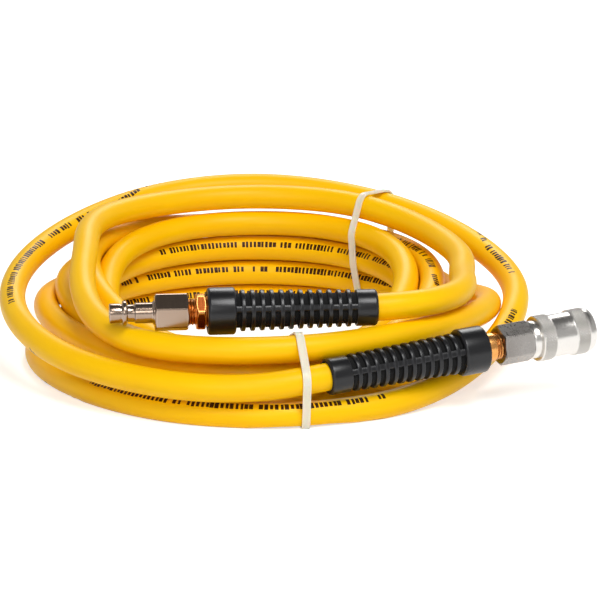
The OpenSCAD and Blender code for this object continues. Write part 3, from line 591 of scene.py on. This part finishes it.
def metal(name, low, high, rough_range, lines, grain_scale, edge_colour, groove_shade_colour):
    """A metal: its colour drifts between two, turning marks roughen it, and its edges are bare.

    Grooves, as of a thread or a knurl, are darkened at their floors by the groove colour: painted shade.
    """
    material, tree, shader = new_material(name, Metallic=1.0)
    grain = use_group(tree, GRAIN, Scale=grain_scale)
    marks = use_group(tree, TURNING, Lines=lines)
    wear = use_group(tree, WEAR, Amount=1.0)
    body = blend_colours(tree, grain.outputs["Drift"], low, high)
    bare = blend_colours(tree, wear.outputs["Mask"], body, edge_colour)
    groove = add(tree, "ShaderNodeAttribute", attribute_name="groove")
    # Painted shade: the floors of grooves take the darker groove colour.
    colour = blend_colours(tree, groove.outputs["Fac"], bare, groove_shade_colour)
    both = math_node(tree, "ADD", grain.outputs["Height"], marks.outputs["Height"])
    rough = in_range(tree, both, rough_range[0] - 0.05, rough_range[1] - 0.05)
    finish_surface(tree, shader, colour, rough, both, 0.00001, 0.6)
    return material


def grained(name, low, high, rough_range, grain_scale, strength, **constants):
    """A moulded material: its colour drifts between two, and its grain roughens it."""
    material, tree, shader = new_material(name, IOR=1.5, **constants)
    grain = use_group(tree, GRAIN, Scale=grain_scale)
    colour = blend_colours(tree, grain.outputs["Drift"], low, high)
    rough = in_range(tree, grain.outputs["Height"], *rough_range)
    finish_surface(tree, shader, colour, rough, grain.outputs["Height"], 0.00003, strength)
    return material


RUBBER = hose_rubber()
PLASTIC = guard_plastic()
# Each metal's last colour is the painted shade at the floors of its grooves.
BRASS = metal("brass", linear(240, 182, 108), linear(216, 140, 74), (0.18, 0.34), 7000.0, 1400.0,
              linear(238, 188, 118), linear(96, 48, 20))
NICKEL = metal("nickel_plate", linear(172, 152, 136), linear(146, 124, 106), (0.12, 0.24), 9000.0, 1200.0,
               linear(238, 232, 224), linear(70, 62, 54))
STEEL = metal("turned_steel", linear(224, 221, 216), linear(204, 200, 195), (0.16, 0.30), 9000.0, 1500.0,
              linear(248, 246, 242), linear(112, 108, 101))
DULL_STEEL = metal("dull_steel", linear(182, 179, 175), linear(118, 110, 104), (0.18, 0.34), 9000.0, 600.0,
                   linear(226, 224, 220), linear(58, 55, 52))
WIRE = metal("spring_wire", linear(186, 184, 180), linear(158, 154, 150), (0.2, 0.34), 5000.0, 2200.0,
             linear(214, 212, 208), linear(70, 68, 66))
# The sealing rings are matt black. Light passes a little way into the ties' milky nylon.
SEAL = grained("seal_rubber", linear(30, 30, 31), linear(46, 45, 45), (0.55, 0.75), 3200.0, 0.5)
NYLON = grained("tie_plastic", linear(252, 240, 216), linear(255, 247, 230), (0.26, 0.42), 1800.0, 0.4,
                Subsurface_Weight=0.3, Subsurface_Scale=0.002, Transmission_Weight=0.2)

# ---- Hose ----

STRAP_LIFT, LIFT_FADE = 1.1, 9
# Where the ticks show: from and to, along the hose, and how far up they face, in degrees.
TICKS_SHOW = [(250, 395, 28), (640, 735, 28), (790, 965, 56), (1150, 1310, 30), (1775, 1995, 28),
              (2375, 2590, 28), (3640, 3705, 34), (4105, 4240, 62)]
TICKS_TURN_AWAY, NO_TICKS = 62, 9.0


def floor_under(points):
    """How high the hose's underside lies: on a tie's strap near a tie, and on the floor elsewhere.

    The lift is whole up to 0.6 of its fade away from a tie, and falls evenly over the next fade.
    """
    azimuth = np.degrees(np.arctan2(points[..., 1], points[..., 0]))
    off = [np.abs((azimuth - tie + 540) % 360 - 180) for tie in TIE_AZIMUTHS.values()]
    return STRAP_LIFT * np.clip(1.6 - np.minimum(*off) / LIFT_FADE, 0, 1)


def make_hose(route):
    """The hose as one tube: rings of equal radius square to the route, bored at both ends.

    The column opposite the ticks starts each ring. The ticks face the front and up where they
    show, and the hose is twisted by half a turn between there and where they don't.
    """
    count, columns = len(route), 24
    along = unit(np.gradient(route, axis=0))
    side = unit(np.cross(along, [0.0, 0.0, 1.0]))
    rise = np.cross(side, along)
    far = far_along(route)
    spans = np.array(TICKS_SHOW, float)
    knots = spans[:, :2].ravel()
    up = np.radians(np.interp(far, knots, np.repeat(spans[:, 2], 2)))
    facing = np.stack([0 * up, -np.cos(up), np.sin(up)], -1)
    line = np.unwrap(np.arctan2((rise * facing).sum(1), (side * facing).sum(1)))
    off = np.maximum(spans[:, :1] - far, far - spans[:, 1:2]).min(0)
    hidden = np.clip(off / TICKS_TURN_AWAY, 0, 1)
    line = line + math.pi * hidden**2 * (3 - 2 * hidden)
    first = np.flatnonzero(far <= TAIL_LEN - 1)
    last = count - 1 - first
    index = np.concatenate([first[::-1], np.arange(count), last])
    radius = np.repeat([HOSE_BORE / 2, HOSE_R, HOSE_BORE / 2], [len(first), count, len(last)])
    turn = line[index][:, None] + math.pi + once_round(columns)[None, :]
    grid = route[index][:, None] + radius[:, None, None] * (
        np.cos(turn)[..., None] * side[index][:, None] + np.sin(turn)[..., None] * rise[index][:, None])
    outer = (radius > HOSE_BORE * 0.75)[:, None]
    grid[..., 2] = np.where(outer, np.maximum(grid[..., 2], floor_under(grid)), grid[..., 2])
    around = np.linspace(-math.pi, math.pi, columns + 1) * HOSE_R
    uv = np.stack(np.broadcast_arrays(far[index][:, None], around[None, :]), axis=-1)
    uv[: len(first), :, 1] = uv[len(uv) - len(last):, :, 1] = NO_TICKS
    return piece("hose", grid_mesh("hose", grid, uv, False), ROOT, RUBBER, 60.0)


route = hose_route()
hose = make_hose(route)
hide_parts("hose_coil", "hose_run_plug", "hose_run_coupler", "hose_tail_plug", "hose_tail_coupler")

# ---- Bend guards ----

CORE_R, CORE_STEP, RAMP_Z, RAMP_LEN = 7.2, 0.8, 38, 4
RIB_R, RIB_TAPER, RIB_LEAN, SLOT_DEPTH = 8.6, 1.1, 0.12, 1.2


def core_radius(height):
    """The core widens evenly along its ramp, just before its bore widens for the ferrule."""
    return CORE_R + CORE_STEP * np.clip((height - RAMP_Z) / RAMP_LEN, 0, 1)


def rib_radius(height):
    """The ribs' tops widen evenly from collar to collar."""
    return RIB_R + RIB_TAPER * (height - TIP_COLLAR) / (GUARD_LEN - BASE_COLLAR - TIP_COLLAR)


def guard_outline():
    """The guard's outline as radius and height: bore, tip collar, ribs on a tapered core, base collar."""
    gap = (GUARD_LEN - BASE_COLLAR - TIP_COLLAR - RIB_COUNT * RIB_W) / (RIB_COUNT + 1)
    low = TIP_COLLAR + gap + np.arange(RIB_COUNT) * (RIB_W + gap)
    high = low + RIB_W
    radii = [core_radius(low), rib_radius(low), rib_radius(high), core_radius(high)]
    heights = [low, low + RIB_LEAN, high - RIB_LEAN, high]
    ribs = np.array([radii, heights]).T.reshape(-1, 2)
    base = GUARD_LEN - BASE_COLLAR
    return np.vstack([
        [[6.6, 0], [7.6, 0], [8.5, 0.9], [8.5, TIP_COLLAR - 0.1], [core_radius(TIP_COLLAR), TIP_COLLAR]],
        ribs, [[core_radius(base), base], [10.2, base], [11, base + 0.8], [11, GUARD_LEN - 0.8],
               [10.2, GUARD_LEN], [7.4, GUARD_LEN], [7.4, 44], [6.6, 44]],
    ])


def make_guard(name, node, place, bar_at):
    """A bend guard. Two lengthwise bars fill the gaps between the ribs almost up to their tops."""
    outline, worn = softened(guard_outline(), 0.45)
    columns, middle = 96, (TIP_COLLAR + GUARD_LEN - BASE_COLLAR) / 2
    half = math.degrees(BAR_W / 2 / rib_radius(middle))
    edges = np.array([-half - 3, -half - 1, -half, half, half + 1, half + 3])
    even = np.linspace(0, 360, columns + 1)[:-1]
    turns = np.concatenate([even, bar_at + edges, bar_at + 180 + edges]) % 360
    turns = np.unique(turns.round(3))

    def bars(radius, height, angle):
        off = np.abs((np.degrees(angle) - bar_at + 90) % 180 - 90)
        rise = np.clip((half + 1.5 - off) / 2, 0, 1) * (rib_radius(height) - 0.2 - core_radius(height))
        inside = (height > TIP_COLLAR - 0.01) & (height < GUARD_LEN - BASE_COLLAR + 0.01)
        inside &= radius > np.where(height < 43, 7.0, 7.7)
        return np.where(inside, np.maximum(radius, core_radius(height) + rise), radius)

    mesh = turned(name, outline, worn, place, bars, np.radians(turns), depth=SLOT_DEPTH, top=rib_radius)
    obj = piece(name, mesh, ROOT, PLASTIC)
    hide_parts(node)
    return obj


plug_guard = make_guard("plug_guard", "plug_bend_guard", on_plug, 107.0)
make_guard("coupler_guard", "coupler_bend_guard", on_coupler, 253.0)

# ---- Turned fittings ----

THREAD_R, THREAD_PITCH, THREAD_DEPTH = 6.3, 1.34, 0.62
HEX_Z, THREAD_Z = 80.0, 84.2
BORE_R, HOLE_R, HOLE_LEN, FITTING_EDGE = 2.5, 6.35, 9.1, 0.22


def threaded_hole(z):
    """The start of an outline: the bore, and the wider hole that opens at z."""
    return [[BORE_R, z + HOLE_LEN], [HOLE_R, z + HOLE_LEN], [HOLE_R, z]]


def chamfered_ends(flat_r, corner_r, low, high, chamfer):
    """Outline of a hexagon's chamfered ends, in small steps so that the arcs on its flats are round."""
    t = np.linspace(0, 1, 6)[:, None]
    first = np.array([[flat_r, low]]) * (1 - t) + np.array([[corner_r, low + chamfer]]) * t
    return np.vstack([first, first[::-1] * [1, -1] + [0, low + high]])


def flats(across, low, high, start):
    """A shape that cuts the radius down to a hexagon's sides from low to high, with a corner at start."""
    def shape(radius, height, angle):
        inside = (height > low - 0.01) & (height < high + 0.01) & (radius > across / 2 - 0.6)
        return np.where(inside, np.minimum(radius, hexagon_radius(angle - start, across)), radius)
    return shape


def make_insert(name, node, place, shown, hexagonal):
    """Brass hose insert: barbed stem, shoulder, hexagon or round collar, and male thread.

    The thread takes off its depth times the distance from its crest, which climbs one pitch a turn.
    """
    start = math.radians(-20)
    low, high = THREAD_Z, THREAD_Z + shown + 8
    barbs = np.arange(5) * 4.4 + 42
    barb = np.array([[2.7, 0], [3.1, 4], [3.1, 4.35]])
    stem = (barb + barbs[:, None, None] * [0, 1]).reshape(-1, 2)
    outline = np.vstack([
        [[2.2, 42]], stem, [[3.1, 66.05], [7.1, 66.05], [7.1, GUARD_LEN], [THREAD_R, HEX_Z - 0.3]],
        chamfered_ends(7.9, 9.3, HEX_Z, THREAD_Z, 0.8) if hexagonal
        else chamfered_ends(6.35, 6.7, HEX_Z, THREAD_Z, 0.35),
        [[THREAD_R - 0.5, THREAD_Z + 0.05], [THREAD_R, low + 0.7], [THREAD_R, high - 0.8],
         [THREAD_R - 0.8, high], [2.2, high]],
    ])
    outline, worn = softened(outline, 0.2)
    outline, worn = spaced(outline, worn, 0.13, low + 0.4, high - 0.6)
    hexagon = flats(16, HEX_Z, THREAD_Z, start)

    def shape(radius, height, angle):
        turn = height / THREAD_PITCH - angle / (2 * math.pi)
        from_crest = 2 * np.abs(turn - np.round(turn))
        fade = np.clip((height - low - 0.2) / 0.5, 0, 1) * np.clip((high - 0.3 - height) / 0.5, 0, 1)
        cut = THREAD_DEPTH * fade * from_crest
        thread = (radius > 5.4) & (height > low)
        return np.where(thread, radius - cut, hexagon(radius, height, angle))

    mesh = turned(name, outline, worn, place, shape, start=start, depth=THREAD_DEPTH)
    obj = piece(name, mesh, ROOT, BRASS, 24.0)
    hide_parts(node)
    return obj


def make_nipple():
    """Plug: hexagon with a threaded hole, shank, neck, locking ring, relief and sealing tip."""
    z = 87.9
    hex_end, neck, ring, relief, tip, end = z + 15.4, z + 24.7, z + 28.2, z + 30.2, z + 31.2, z + 36.2
    outline = np.vstack([
        threaded_hole(z), chamfered_ends(7.9, 9.3, z, hex_end, 0.8),
        [[5.8, hex_end], [5.8, hex_end + 0.2], [4.8, hex_end + 1], [4.8, neck - 0.4], [4, neck],
         [4, ring - 0.4], [5.4, ring], [5.8, ring + 0.4], [5.8, relief - 0.4], [5.4, relief], [4.3, relief],
         [4.3, tip], [4.6, tip], [4.6, end - 0.4], [4.2, end], [BORE_R, end]],
    ])
    outline, worn = softened(outline, FITTING_EDGE)
    start = math.radians(-8)
    mesh = turned("plug_nipple_turned", outline, worn, on_plug, flats(16, z, hex_end, start), start=start)
    obj = piece("plug_nipple_turned", mesh, ROOT, NICKEL, 24.0)
    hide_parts("plug_nipple")
    return obj


def make_adaptor():
    """Coupler's hexagon with a threaded hole, and the spigot that holds the valve's spring."""
    z, end = 87.0, 102.5
    outline = np.vstack([
        threaded_hole(z), chamfered_ends(8.4, 9.9, z, end, 0.8),
        [[6.45, end], [6.45, end + 5.5], [4.7, end + 5.5], [4.7, 98.5], [BORE_R, 98.5]],
    ])
    outline, worn = softened(outline, FITTING_EDGE)
    start = math.radians(-6)
    mesh = turned("adaptor_hexagon", outline, worn, on_coupler, flats(17, z, end, start), start=start)
    obj = piece("adaptor_hexagon", mesh, ROOT, DULL_STEEL, 24.0)
    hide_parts("coupler_adaptor")


def make_sleeve():
    """Release sleeve: two knurled bands, a polished waist, a bevelled front ring and the rib inside.

    The knurl is two sets of V grooves that cross. Each set's depth falls from the full depth
    on its lines to nothing halfway between them, and the deeper of the two counts.
    """
    lines, climb, full_depth, row_step = 48, 1.5, 0.4, 0.22
    z = 106.1
    end, rear, ring = z + 28, z + 7, z + 24.6
    front = ring - 7
    bands = ((z + 0.5, rear - 0.35), (front + 0.35, ring - 0.3))
    outline, worn = softened([
        [8.95, z], [10.4, z], [11, z + 0.6], [11, rear - 0.6], [10.1, rear], [10.1, front],
        [11, front + 0.6], [11, ring - 0.2], [10.55, ring + 0.1], [10.55, ring + 1.7], [9.9, end],
        [9, end], [9, 124.6], [8.6, 124.6], [7.8, 123.8], [7.8, 119], [8.95, 119],
    ], FITTING_EDGE)
    for low, high in bands:
        outline, worn = spaced(outline, worn, row_step, low, high)

    def knurl(radius, height, angle):
        turns = lines * angle / (2 * math.pi)
        rise = height / climb
        one, two = turns + rise, turns - rise
        near = np.minimum(np.abs(one - np.round(one)), np.abs(two - np.round(two))) * 2
        depth = full_depth * (1 - near)
        fade = np.zeros_like(height)
        for low, high in bands:
            fade = np.maximum(fade, np.clip(np.minimum(height - low, high - height) / 0.3, 0, 1))
        return np.where(radius > 10.3, radius - depth * fade, radius)

    mesh = turned("release_sleeve_knurled", outline, worn, on_coupler, knurl, 8 * lines, depth=full_depth)
    obj = piece("release_sleeve_knurled", mesh, SLEEVE, STEEL, 40.0)
    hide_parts("coupler_sleeve")


plug_insert = make_insert("plug_insert", "plug_hose_insert", on_plug, 3.7, True)
make_insert("coupler_insert", "coupler_hose_insert", on_coupler, 2.8, False)
nipple = make_nipple()
make_adaptor()
make_sleeve()

# ---- Springs ----


def make_spring(name, node, mean_r, wire, curls, low, length):
    """A wire on a helix: centre at mean_r round the axis, climbing evenly; its ends are ground flat.
    """
    rings, sides = 28, 12
    turn = np.linspace(0, 2 * math.pi * curls, curls * rings + 1)
    out = np.stack([np.cos(turn), np.sin(turn), np.zeros_like(turn)], -1)
    climb = (length - wire) / (2 * math.pi * curls)
    along = unit(np.stack([-np.sin(turn) * mean_r, np.cos(turn) * mean_r, np.full_like(turn, climb)], -1))
    rise = np.cross(out, along)
    centre = mean_r * out + np.stack([0 * turn, 0 * turn, wire / 2 + climb * turn], -1)
    a = np.linspace(0, 2 * math.pi, sides + 1)
    c, s = np.cos(a[:-1])[None, :, None], np.sin(a[:-1])[None, :, None]
    grid = centre[:, None] + wire / 2 * (c * out[:, None] + s * rise[:, None])
    grid[..., 2] = np.clip(grid[..., 2], 0, length) + low
    mesh = grid_mesh(name, on_coupler(grid), map_of(a * wire / 2, turn * mean_r), False)
    obj = piece(name, mesh, None, WIRE, 50.0)
    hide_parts(node)
    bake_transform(obj)


make_spring("sleeve_return_spring", "sleeve_spring", 8.3, 0.9, 5, 109.05, 9.9)
make_spring("valve_return_spring", "valve_spring", 3.55, 0.7, 6, 98.55, 8.9)

# ---- Inner parts: smooth copies of the frame's own meshes ----


def smooth_copy(node, name, body, material, slot):
    """A copy of a node's mesh with its points merged, so that its round faces shade smoothly."""
    mesh = bpy.data.meshes.new(name)
    work = bmesh.new()
    work.from_mesh(bpy.data.objects[node].data)
    bmesh.ops.remove_doubles(work, verts=work.verts, dist=1e-7)
    work.to_mesh(mesh)
    work.free()
    mesh.materials.clear()
    obj = piece(name, mesh, body, material, 30.0)
    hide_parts(node)
    return obj


INNER = [
    ("plug_ferrule", "plug_crimp_ferrule", ROOT, BRASS, "brass"),
    ("coupler_ferrule", "coupler_crimp_ferrule", ROOT, BRASS, "brass"),
    ("plug_thread_seal", "plug_seal_ring", ROOT, SEAL, "seal_rubber"),
    ("coupler_thread_seal", "coupler_seal_ring", ROOT, SEAL, "seal_rubber"),
    ("coupler_body", "coupler_body_turned", ROOT, STEEL, "turned_steel"),
    ("sleeve_snap_ring", "snap_ring_wire", ROOT, WIRE, "spring_wire"),
    ("locking_balls", "locking_balls_polished", ROOT, WIRE, "spring_wire"),
    ("valve_poppet", "poppet_turned", POPPET, BRASS, "brass"),
    ("valve_seal", "poppet_seal", POPPET, SEAL, "seal_rubber"),
    ("socket_seal", "socket_seal_ring", ROOT, SEAL, "seal_rubber"),
]
inner = {node: smooth_copy(node, *rest) for node, *rest in INNER}

# ---- Ties ----

LOOP_STEP, LOOP_DIRECTIONS, TOOTH_DEPTH, CHANNEL_DEPTH = 0.34, 720, 0.14, 0.1
HEAD_TURN = once_round(48)
UP = np.array([0, 0, 1.0])


def plane_axes(azimuth):
    """A tie's upright plane: the way out from the coil's axis, and the way square to the plane."""
    a = math.radians(azimuth)
    return np.array([math.cos(a), math.sin(a), 0]), np.array([-math.sin(a), math.cos(a), 0])


def bundle(azimuth, paths):
    """Where paths cross the upright half plane at an azimuth, as radius and height."""
    out, normal = plane_axes(azimuth)
    first, second = paths[:-1], paths[1:]
    d1, d2 = first @ normal, second @ normal
    cross = (d1 * d2 <= 0) & (d1 != d2)
    share = (d1 / np.where(d1 == d2, 1, d1 - d2))[:, None]
    points = (first + (second - first) * share)[cross]
    points = points[points @ out > 0]
    return np.stack([points @ out, points[:, 2]], -1)


def strap_loop(centres, reach, step):
    """The strap's centreline: the taut loop round circles at the centres, flat on the floor.

    At each direction the loop touches the circle whose centre is furthest that way.
    """
    turn = once_round(LOOP_DIRECTIONS)
    way = np.stack([np.cos(turn), np.sin(turn)], -1)
    loop = centres[np.argmax(way @ centres.T, axis=1)] + reach * way
    loop[:, 1] = np.maximum(loop[:, 1], STRAP_T / 2)
    ring = np.vstack([loop, loop[:1]])
    far = far_along(ring)
    keep = np.concatenate([[True], np.diff(far) > 1e-6])
    at = np.linspace(0, far[-1], int(far[-1] / step) + 1)[:-1]
    return np.stack([np.interp(at, far[keep], ring[keep, k]) for k in range(2)], -1), at


def strap_section():
    """The strap's section: each point's place across, its place up, and whether the teeth cut it.

    It is a flat bar with soft corners and a shallow channel along the middle of its outside.
    """
    half_w, half_t, soft, cut = STRAP_W / 2, STRAP_T / 2, 0.22, 0.06
    rim, floor, bed = half_w * 0.62, half_w * 0.5, half_t - CHANNEL_DEPTH
    points = np.array([
        [-half_w + soft, half_t], [-rim, half_t], [-floor, bed], [floor, bed], [rim, half_t],
        [half_w - soft, half_t], [half_w - cut, half_t - cut], [half_w, half_t - soft],
        [half_w, -half_t + soft], [half_w - cut, -half_t + cut], [half_w - soft, -half_t],
        [-half_w + soft, -half_t], [-half_w + cut, -half_t + cut], [-half_w, -half_t + soft],
        [-half_w, half_t - soft], [-half_w + cut, half_t - cut],
    ])
    return points[:, 0], points[:, 1], np.where(points[:, 1] == bed, 1.0, 0.0)


def rounded(half_a, half_b, power):
    """A rounded rectangle, where the powers of a point's shares of both half sizes add up to one."""
    c, s = np.cos(HEAD_TURN), np.sin(HEAD_TURN)
    size = (np.abs(c) ** power + np.abs(s) ** power) ** (-1 / power)
    return np.stack([half_a * c * size, half_b * s * size], -1)


def make_tie(node, azimuth):
    """A tie: the strap, the ratchet head inside the bundle, and the free end through the head.

    The strap is its section carried along its loop. Its cross teeth are cut by their depth
    times twice the way to the nearest whole millimetre. The head is a profile carried round
    its window and its outside, and the free end is a rounded rectangle that thins at its tip.
    """
    tail_steps = 18
    centres = bundle(azimuth, route[tail_steps:-tail_steps])
    loop, at = strap_loop(centres, HOSE_R + STRAP_CLEAR + STRAP_T / 2, LOOP_STEP)
    ahead = unit(np.roll(loop, -1, 0) - np.roll(loop, 1, 0))
    outward = np.stack([ahead[:, 1], -ahead[:, 0]], -1)
    across, up, toothed = strap_section()
    teeth = TOOTH_DEPTH * np.abs(at - np.round(at))[:, None] * 2 * toothed[None, :]
    rise = up[None, :] - teeth
    out3, side3 = plane_axes(azimuth)
    plane = loop[:, None, :] + rise[..., None] * outward[:, None, :]
    plane[..., 1] = np.maximum(plane[..., 1], 0)
    grid = plane[..., :1] * out3 + UP * plane[..., 1:] + across[None, :, None] * side3
    wide, far = np.linspace(0, 2 * (STRAP_W + STRAP_T), len(up) + 1), np.append(at, at[-1] + LOOP_STEP)

    def solid(ending, points, uv, rows_join, edge=None):
        """A piece of the tie from a grid of points."""
        mesh = grid_mesh(node + ending, points, uv, rows_join, edge)
        return piece(node + ending, mesh, ROOT, NYLON, 35.0)

    strap = solid("_strap", grid, map_of(wide, far), True)
    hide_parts(node)

    inner_u = centres[centres[:, 1] < HOSE_D][:, 0].min()
    head_u = inner_u - HOSE_R - STRAP_CLEAR - STRAP_T / 2

    def in_place(flat, u):
        """Points of an outline that stands across the radius, at distances u from the coil's axis."""
        level = REST_Z + flat[..., 1:]
        return u[:, None, None] * out3 + flat[..., :1] * side3 + level * UP

    profile, worn = softened([[0, -3.6], [1, -3.6], [1, 0], [0, 0]], 0.35)
    window, outside = rounded(2.0, 0.62, 8), rounded(2.85, 3.0, 8)
    flat = window[None] + profile[:, :1, None] * (outside - window)[None]
    head_grid = in_place(flat, head_u + profile[:, 1])
    head_uv = np.zeros((len(profile) + 1, len(HEAD_TURN) + 1, 2))
    solid("_head", head_grid, head_uv, True, np.repeat(worn, len(HEAD_TURN)))
    back = np.array([0.2, 1, 4, 7, 9.6, 10.2, 10.45, 10.6])
    thin = np.array([1, 1, 1, 1, 1, 0.95, 0.8, 0.5])[:, None, None]
    stub_grid = in_place(rounded(1.9, 0.5, 6)[None] * thin, head_u - back)
    solid("_free_end", stub_grid, np.zeros((len(back), len(HEAD_TURN) + 1, 2)), False)


for node, azimuth in TIE_AZIMUTHS.items():
    make_tie(node, azimuth)

# ---- Studio ----

FLOOR_GLOW = 0.56


def make_floor():
    """A wide pale floor, white to the eye where no shadow falls, and quite white far off.

    Its shader has a white glow added, which only the camera, gloss and glass see. For the
    camera the glow grows with the distance from the middle.
    """
    mesh = bpy.data.meshes.new("studio_floor")
    mesh.from_pydata([(-6, -6, 0), (6, -6, 0), (6, 6, 0), (-6, 6, 0)], [], [(0, 1, 2, 3)])
    obj = new_object("studio_floor", mesh)
    material, tree, shader = new_material(
        "studio_floor", Base_Color=(0.86, 0.86, 0.86, 1), Roughness=0.9, Specular_IOR_Level=0.0
    )
    place = add(tree, "ShaderNodeTexCoord").outputs["Object"]
    away = add(tree, "ShaderNodeVectorMath", operation="LENGTH", Vector=place)
    far = eased(tree, away.outputs["Value"], start=0.35, end=1.5, low=0.0, high=0.45)
    path = add(tree, "ShaderNodeLightPath")
    more = math_node(tree, "MULTIPLY", path.outputs["Is Camera Ray"], far)
    seen = math_node(tree, "MAXIMUM", path.outputs["Is Camera Ray"], path.outputs["Is Glossy Ray"])
    seen = math_node(tree, "MAXIMUM", seen, path.outputs["Is Transmission Ray"])
    bright = math_node(tree, "MULTIPLY", seen, math_node(tree, "ADD", more, FLOOR_GLOW))
    glow = add(tree, "ShaderNodeEmission", Color=(1, 1, 1, 1), Strength=bright)
    both = add(tree, "ShaderNodeAddShader")
    tree.links.new(shader.outputs[0], both.inputs[0])
    tree.links.new(glow.outputs[0], both.inputs[1])
    tree.links.new(both.outputs[0], tree.nodes["Material Output"].inputs["Surface"])
    mesh.materials.append(material)


def make_world():
    """White all round to the eye; the light that it gives is strong at the sides and weak overhead."""
    world = bpy.data.worlds.new("studio_world")
    bpy.context.scene.world = world
    world.use_nodes = True
    tree = world.node_tree
    path = add(tree, "ShaderNodeLightPath")
    seen = math_node(tree, "MAXIMUM", path.outputs["Is Camera Ray"], path.outputs["Is Transmission Ray"])
    place = add(tree, "ShaderNodeTexCoord")
    split = add(tree, "ShaderNodeSeparateXYZ", Vector=place.outputs["Generated"])
    overhead = eased(tree, split.outputs["Z"], start=0.45, end=0.85, low=0.50, high=0.10)
    strength = math_node(tree, "MAXIMUM", seen, overhead)
    tree.links.new(strength, tree.nodes["Background"].inputs["Strength"])
    tree.nodes["Background"].inputs["Color"].default_value = (1, 1, 1, 1)


def soft_light(name, place, aim, size, watts):
    """A round area light at a place, turned to its aim."""
    data = bpy.data.lights.new(name, "AREA")
    data.shape, data.size, data.energy = "DISK", size, watts
    obj = new_object(name, data)
    obj.location = place
    way = np.array(aim, float) - np.array(place, float)
    flat_way = math.hypot(way[0], way[1])
    obj.rotation_euler = (math.atan2(flat_way, -way[2]), 0, math.atan2(-way[0], way[1]))


make_floor()
make_world()
soft_light("key_light", (0.45, -0.95, 1.50), (0, 0, 0.02), 0.8, 19)
soft_light("front_light", (-0.25, -1.55, 0.75), (0, 0, 0.02), 0.6, 5)
soft_light("back_light", (0.15, 1.25, 1.15), (0, 0, 0.03), 0.8, 9)

bpy.context.scene.view_settings.view_transform = "Standard"
